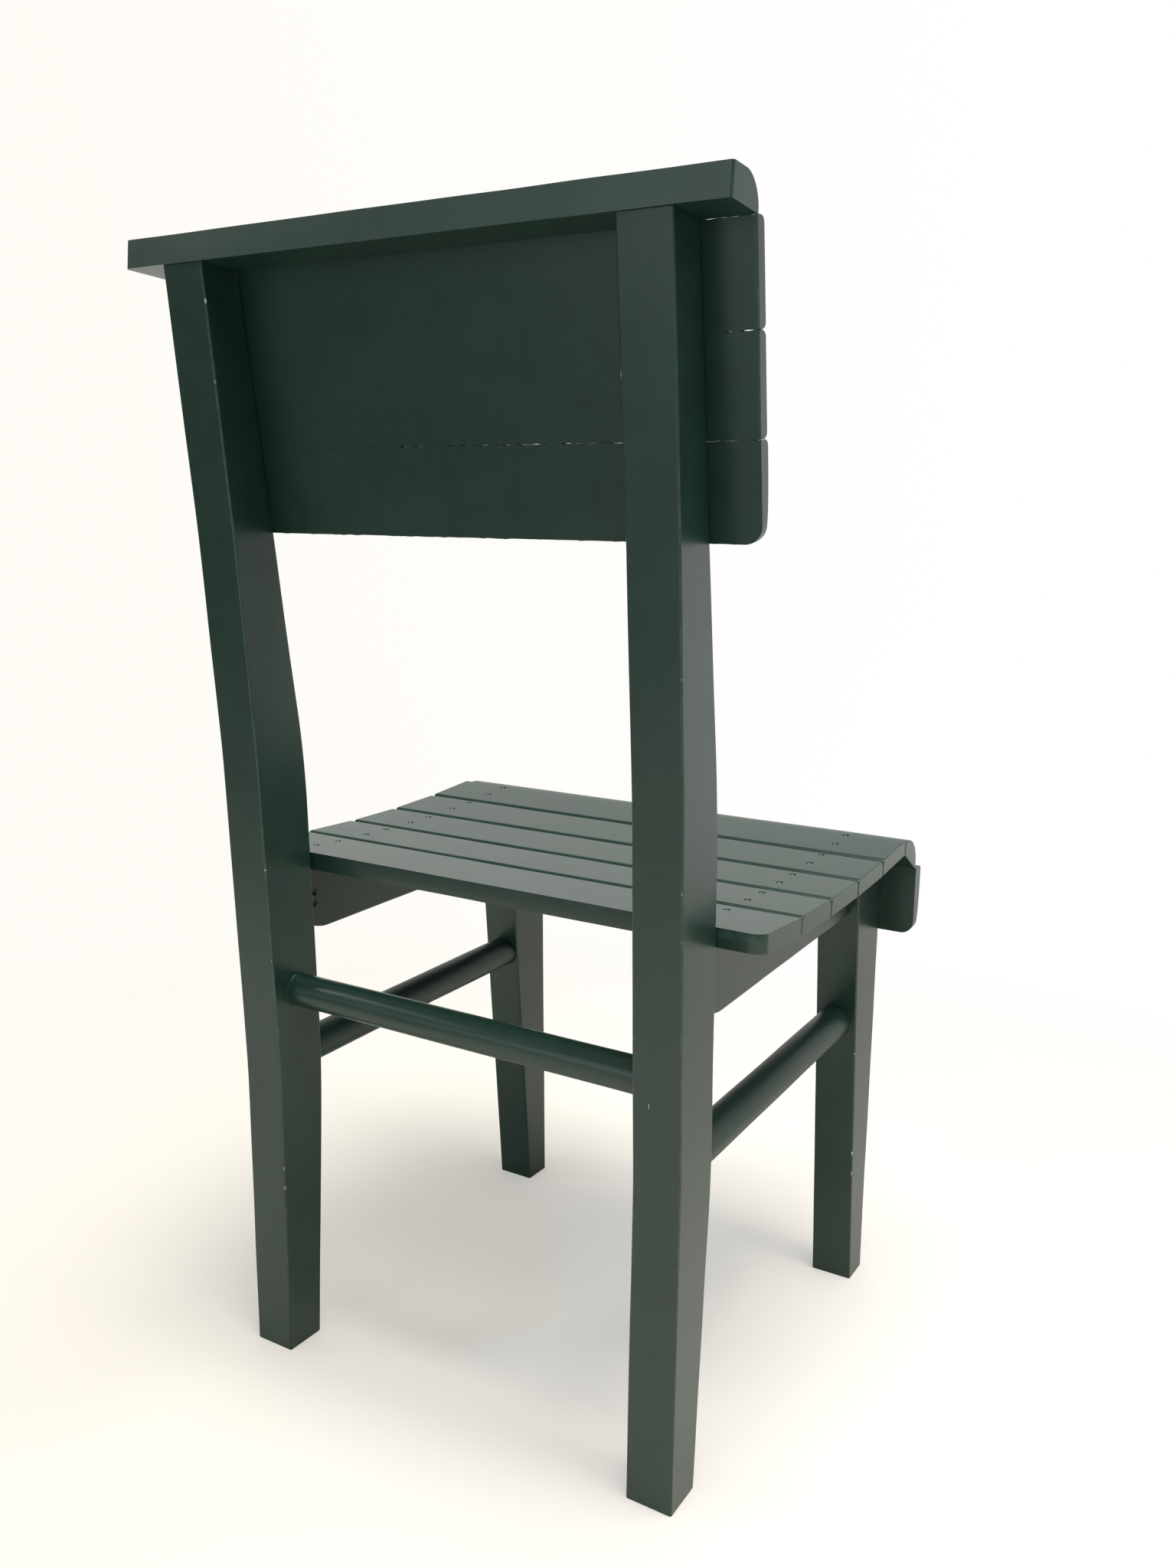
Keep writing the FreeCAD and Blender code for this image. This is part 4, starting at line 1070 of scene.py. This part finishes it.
def front_apron():
    outline = [(0, 0), (0, APRON_HIGH), (-APRON_THICK, APRON_HIGH), (-APRON_THICK, 0)]
    bm = sawn(outline, APRON_LONG)
    soften(bm, APRON_CORNER, lambda spot, way: abs(way.y) > MOSTLY and spot.z < TOUCH, 9)
    soften(bm, APRON_ROUND,
           lambda spot, way: abs(way.y) < HARDLY and spot.y < -APRON_THICK + TOUCH
           and abs(spot.x) < APRON_LONG / 2 - TOUCH, 6)
    soften(bm, APRON_END_ROUND,
           lambda spot, way: abs(way.z) > MOSTLY and spot.y < -APRON_THICK + TOUCH, 4)
    soften(bm, BOARD_EASE, lambda spot, way: True, 3, True)
    cut_rings(bm, 0, BOARD_RINGS)
    waver(bm, *BOARD_WAVES, 27)
    dishes = front_dishes(LEG_CENTRE, APRON_THICK, APRON_HIGH / 2)
    lean = math.atan2(LEG_TOE - LEG_FACE, LEG_GAUGE)
    spot = (0, MIDDLE + leg_face(APRON_UP), APRON_UP)
    place = Matrix.Translation(spot) @ Matrix.Rotation(-lean, 4, "X")
    return add_piece("apron", ("front_apron",), bm, place, PAINT_ACROSS, dishes)


tell(seat_nosing())
tell(front_apron())

# %% [markdown]
# Three boards close the back. They were pushed together before they were nailed, and paint has
# run into the seams, so hardly any light comes through: a row of slits where two edges stand a
# hair apart. Each board's edges get short noise of their own, which opens and closes the seam.

# %% Back slats
BACK_ROWS = ("bottom", "middle", "top")
BACK_WIDE = 64.2
BACK_PITCH = 64.5
BACK_THICK = 11.0
BACK_LONG = REAR_WIDTH + 73.0
BACK_UP = POST_TOP - 189.4
BACK_CORNER = 12
BACK_ROUND = 4.5
BACK_EASE = 1.0
BACK_RINGS = 3
# How far each edge is pulled back from its seam, across the chair from the right to the left
SEAM_GAPES = (
    ((-300, 0.0), (300, 0.0)),
    ((-235, -0.2), (-215, 0.06), (-165, 0.1), (-60, 0.0), (30, -0.12), (110, -0.28), (300, -0.4)),
    ((-240, 0.05), (-226, -0.1), (-205, -0.4), (100, -0.45), (140, -0.22), (300, -0.3)),
    ((-250, 0.5), (-216, 0.4), (-206, -0.3), (300, -0.3)),
)
# The noise of an edge: its length along and across the board, its step from seam to seam and
# between the two edges of a seam, and how far it goes within the back and at its top
EDGE_NOISE_LONG = 6
EDGE_NOISE_DEEP = 60
SEAM_SEED = 5.3
EDGE_SEED = 0.4
EDGE_UNEVEN = 0.75
TOP_UNEVEN = 0.6


def along_seam(across, points):
    """A value at a place across the chair, from (across, value) points."""
    for (start, low), (stop, high) in zip(points, points[1:]):
        if across <= stop:
            return low + (high - low) * max(0.0, across - start) / (stop - start)
    return points[-1][1]


def rough_edges(bm, high, row):
    """Moves a board's lower and upper edges in and out, by how far their seams gape."""
    for corner in bm.verts:
        if TOUCH < corner.co.z < high - TOUCH:
            continue
        upper = corner.co.z > high / 2
        outward = 1 if upper else -1
        seam = row + upper
        gape = along_seam(corner.co.x, SEAM_GAPES[seam])
        spot = Vector((corner.co.x / EDGE_NOISE_LONG, corner.co.y / EDGE_NOISE_DEEP,
                       SEAM_SEED * seam + EDGE_SEED * outward))
        uneven = TOP_UNEVEN if seam == len(BACK_ROWS) else EDGE_UNEVEN
        corner.co.z += outward * (noise.noise(spot) * uneven - gape)


def back_slat(row):
    outline = [(0, 0), (0, BACK_WIDE), (-BACK_THICK, BACK_WIDE), (-BACK_THICK, 0)]
    bm = sawn(outline, BACK_LONG)
    if row == 0:
        soften(bm, BACK_CORNER, lambda spot, way: abs(way.y) > MOSTLY and spot.z < TOUCH, 9)
    soften(bm, BACK_ROUND,
           lambda spot, way: abs(way.y) < HARDLY and spot.y < -BACK_THICK + TOUCH
           and abs(spot.x) < BACK_LONG / 2 - TOUCH, 5)
    soften_ends(bm, BACK_LONG, BACK_EASE, 4)
    if row == 0:
        soften(bm, BACK_EASE,
               lambda spot, way: runs_across(way) and spot.z < TOUCH and spot.y > -TOUCH, 3, True)
    cut_rings(bm, 0, BACK_RINGS)
    rough_edges(bm, BACK_WIDE, row)
    waver(bm, *BOARD_WAVES, 31 + row)
    dishes = front_dishes(POST_CENTRE, BACK_THICK, BACK_WIDE / 2)
    chest = WAIST[0] + (BACK_UP - WAIST[1]) * math.tan(CHEST_TURN)
    rise = BACK_PITCH * row
    spot = (0, MIDDLE + chest + rise * math.sin(CHEST_TURN), BACK_UP + rise * math.cos(CHEST_TURN))
    place = Matrix.Translation(spot) @ Matrix.Rotation(-CHEST_TURN, 4, "X")
    word = BACK_ROWS[row]
    return add_piece("back_" + word, ("back_slat_" + word,), bm, place, PAINT_ACROSS, dishes)


for back_row in range(len(BACK_ROWS)):
    tell(back_slat(back_row))

# %% [markdown]
# The crest rail lies flat on the heads of the posts. Its top front edge is a full quarter
# round, where hands take hold of the chair, and its ends are cut square with eased corners.

# %% Crest rail
CREST_HIGH = 20.5
CREST_LONG = REAR_WIDTH + 75.0
CREST_STEP_IN = 1.0
CREST_STEP_OUT = 2.3
CREST_LEAN = 1.2
CREST_LIP = 1
CREST_CORNERS = {"left": 4.0, "right": 1.8}
CREST_CORNER_BAND = 3
CREST_TOP_EASE = 1.8
CREST_END_EASE = 1.0
CREST_RINGS = 10
CREST_WAVES = (0.35, 60)


def crest_rail():
    front = HEAD_FRONT + CREST_STEP_IN
    rear = HEAD_REAR + CREST_STEP_OUT
    outline = [(front, 0), (rear, 0), (rear - CREST_LEAN, CREST_HIGH), (front, CREST_HIGH)]
    bm = sawn(outline, CREST_LONG)
    soften(bm, CREST_HIGH - CREST_LIP,
           lambda spot, way: runs_across(way) and spot.z > CREST_HIGH - TOUCH
           and spot.y < front + TOUCH, 12)
    for side, sign in SIDES.items():
        soften(bm, CREST_CORNERS[side],
               lambda spot, way: abs(way.z) > MOSTLY and spot.y > rear - CREST_CORNER_BAND
               and abs(spot.x - sign * CREST_LONG / 2) < TOUCH, 5)
    soften(bm, CREST_TOP_EASE,
           lambda spot, way: spot.z > CREST_HIGH - TOUCH and spot.y > front + CREST_HIGH, 4, True)
    soften_ends(bm, CREST_LONG, CREST_END_EASE, 3)
    soften(bm, UNDER_EASE, lambda spot, way: spot.z < TOUCH and runs_across(way), 3, True)
    cut_rings(bm, 0, CREST_RINGS)
    waver(bm, *CREST_WAVES, 41)
    place = Matrix.Translation((0, MIDDLE, POST_TOP))
    return add_piece("crest", ("crest_rail",), bm, place, PAINT_ACROSS)


tell(crest_rail())

# %% [markdown]
# The nails and dowels stay as they are packed. The nails' heads close the bottoms of the dishes,
# so they carry the dark paint too. The dowels are bare beech, hidden until the crest comes off.

# %% Nails and dowels
PAINTED_NAIL = (0.008, 0.022, 0.017)
NAIL_ROUGHNESS = 0.5
BEECH = (0.5, 0.34, 0.2)
BEECH_ROUGHNESS = 0.6
MOTTLE_DARK = 0.7
MOTTLE_PALE = 1.3


def plain_skin(name, colour, rough):
    """A finish with a little mottling."""
    skin = bpy.data.materials.new(name)
    tree = empty_tree(skin)
    place = tree.nodes.new("ShaderNodeTexCoord").outputs["Object"]
    mottle = stretched_noise(tree, place, EVEN, *MOTTLE)
    tone = colour_mix(tree, mottle, opaque(colour, MOTTLE_DARK), opaque(colour, MOTTLE_PALE))
    body = node_at(tree, "ShaderNodeBsdfPrincipled", Base_Color=tone, Roughness=rough)
    node_at(tree, "ShaderNodeOutputMaterial", Surface=body.outputs[0])
    return skin


FASTENER_SKINS = {
    "nails": plain_skin("painted_nail", PAINTED_NAIL, NAIL_ROUGHNESS),
    "dowels": plain_skin("bare_beech", BEECH, BEECH_ROUGHNESS),
}
dressed = 0
for node_name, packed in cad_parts.items():
    for word, skin in FASTENER_SKINS.items():
        if word in node_name:
            packed.data.materials.clear()
            packed.data.materials.append(skin)
            dressed += 1
print(dressed, "nodes of nails and dowels dressed")
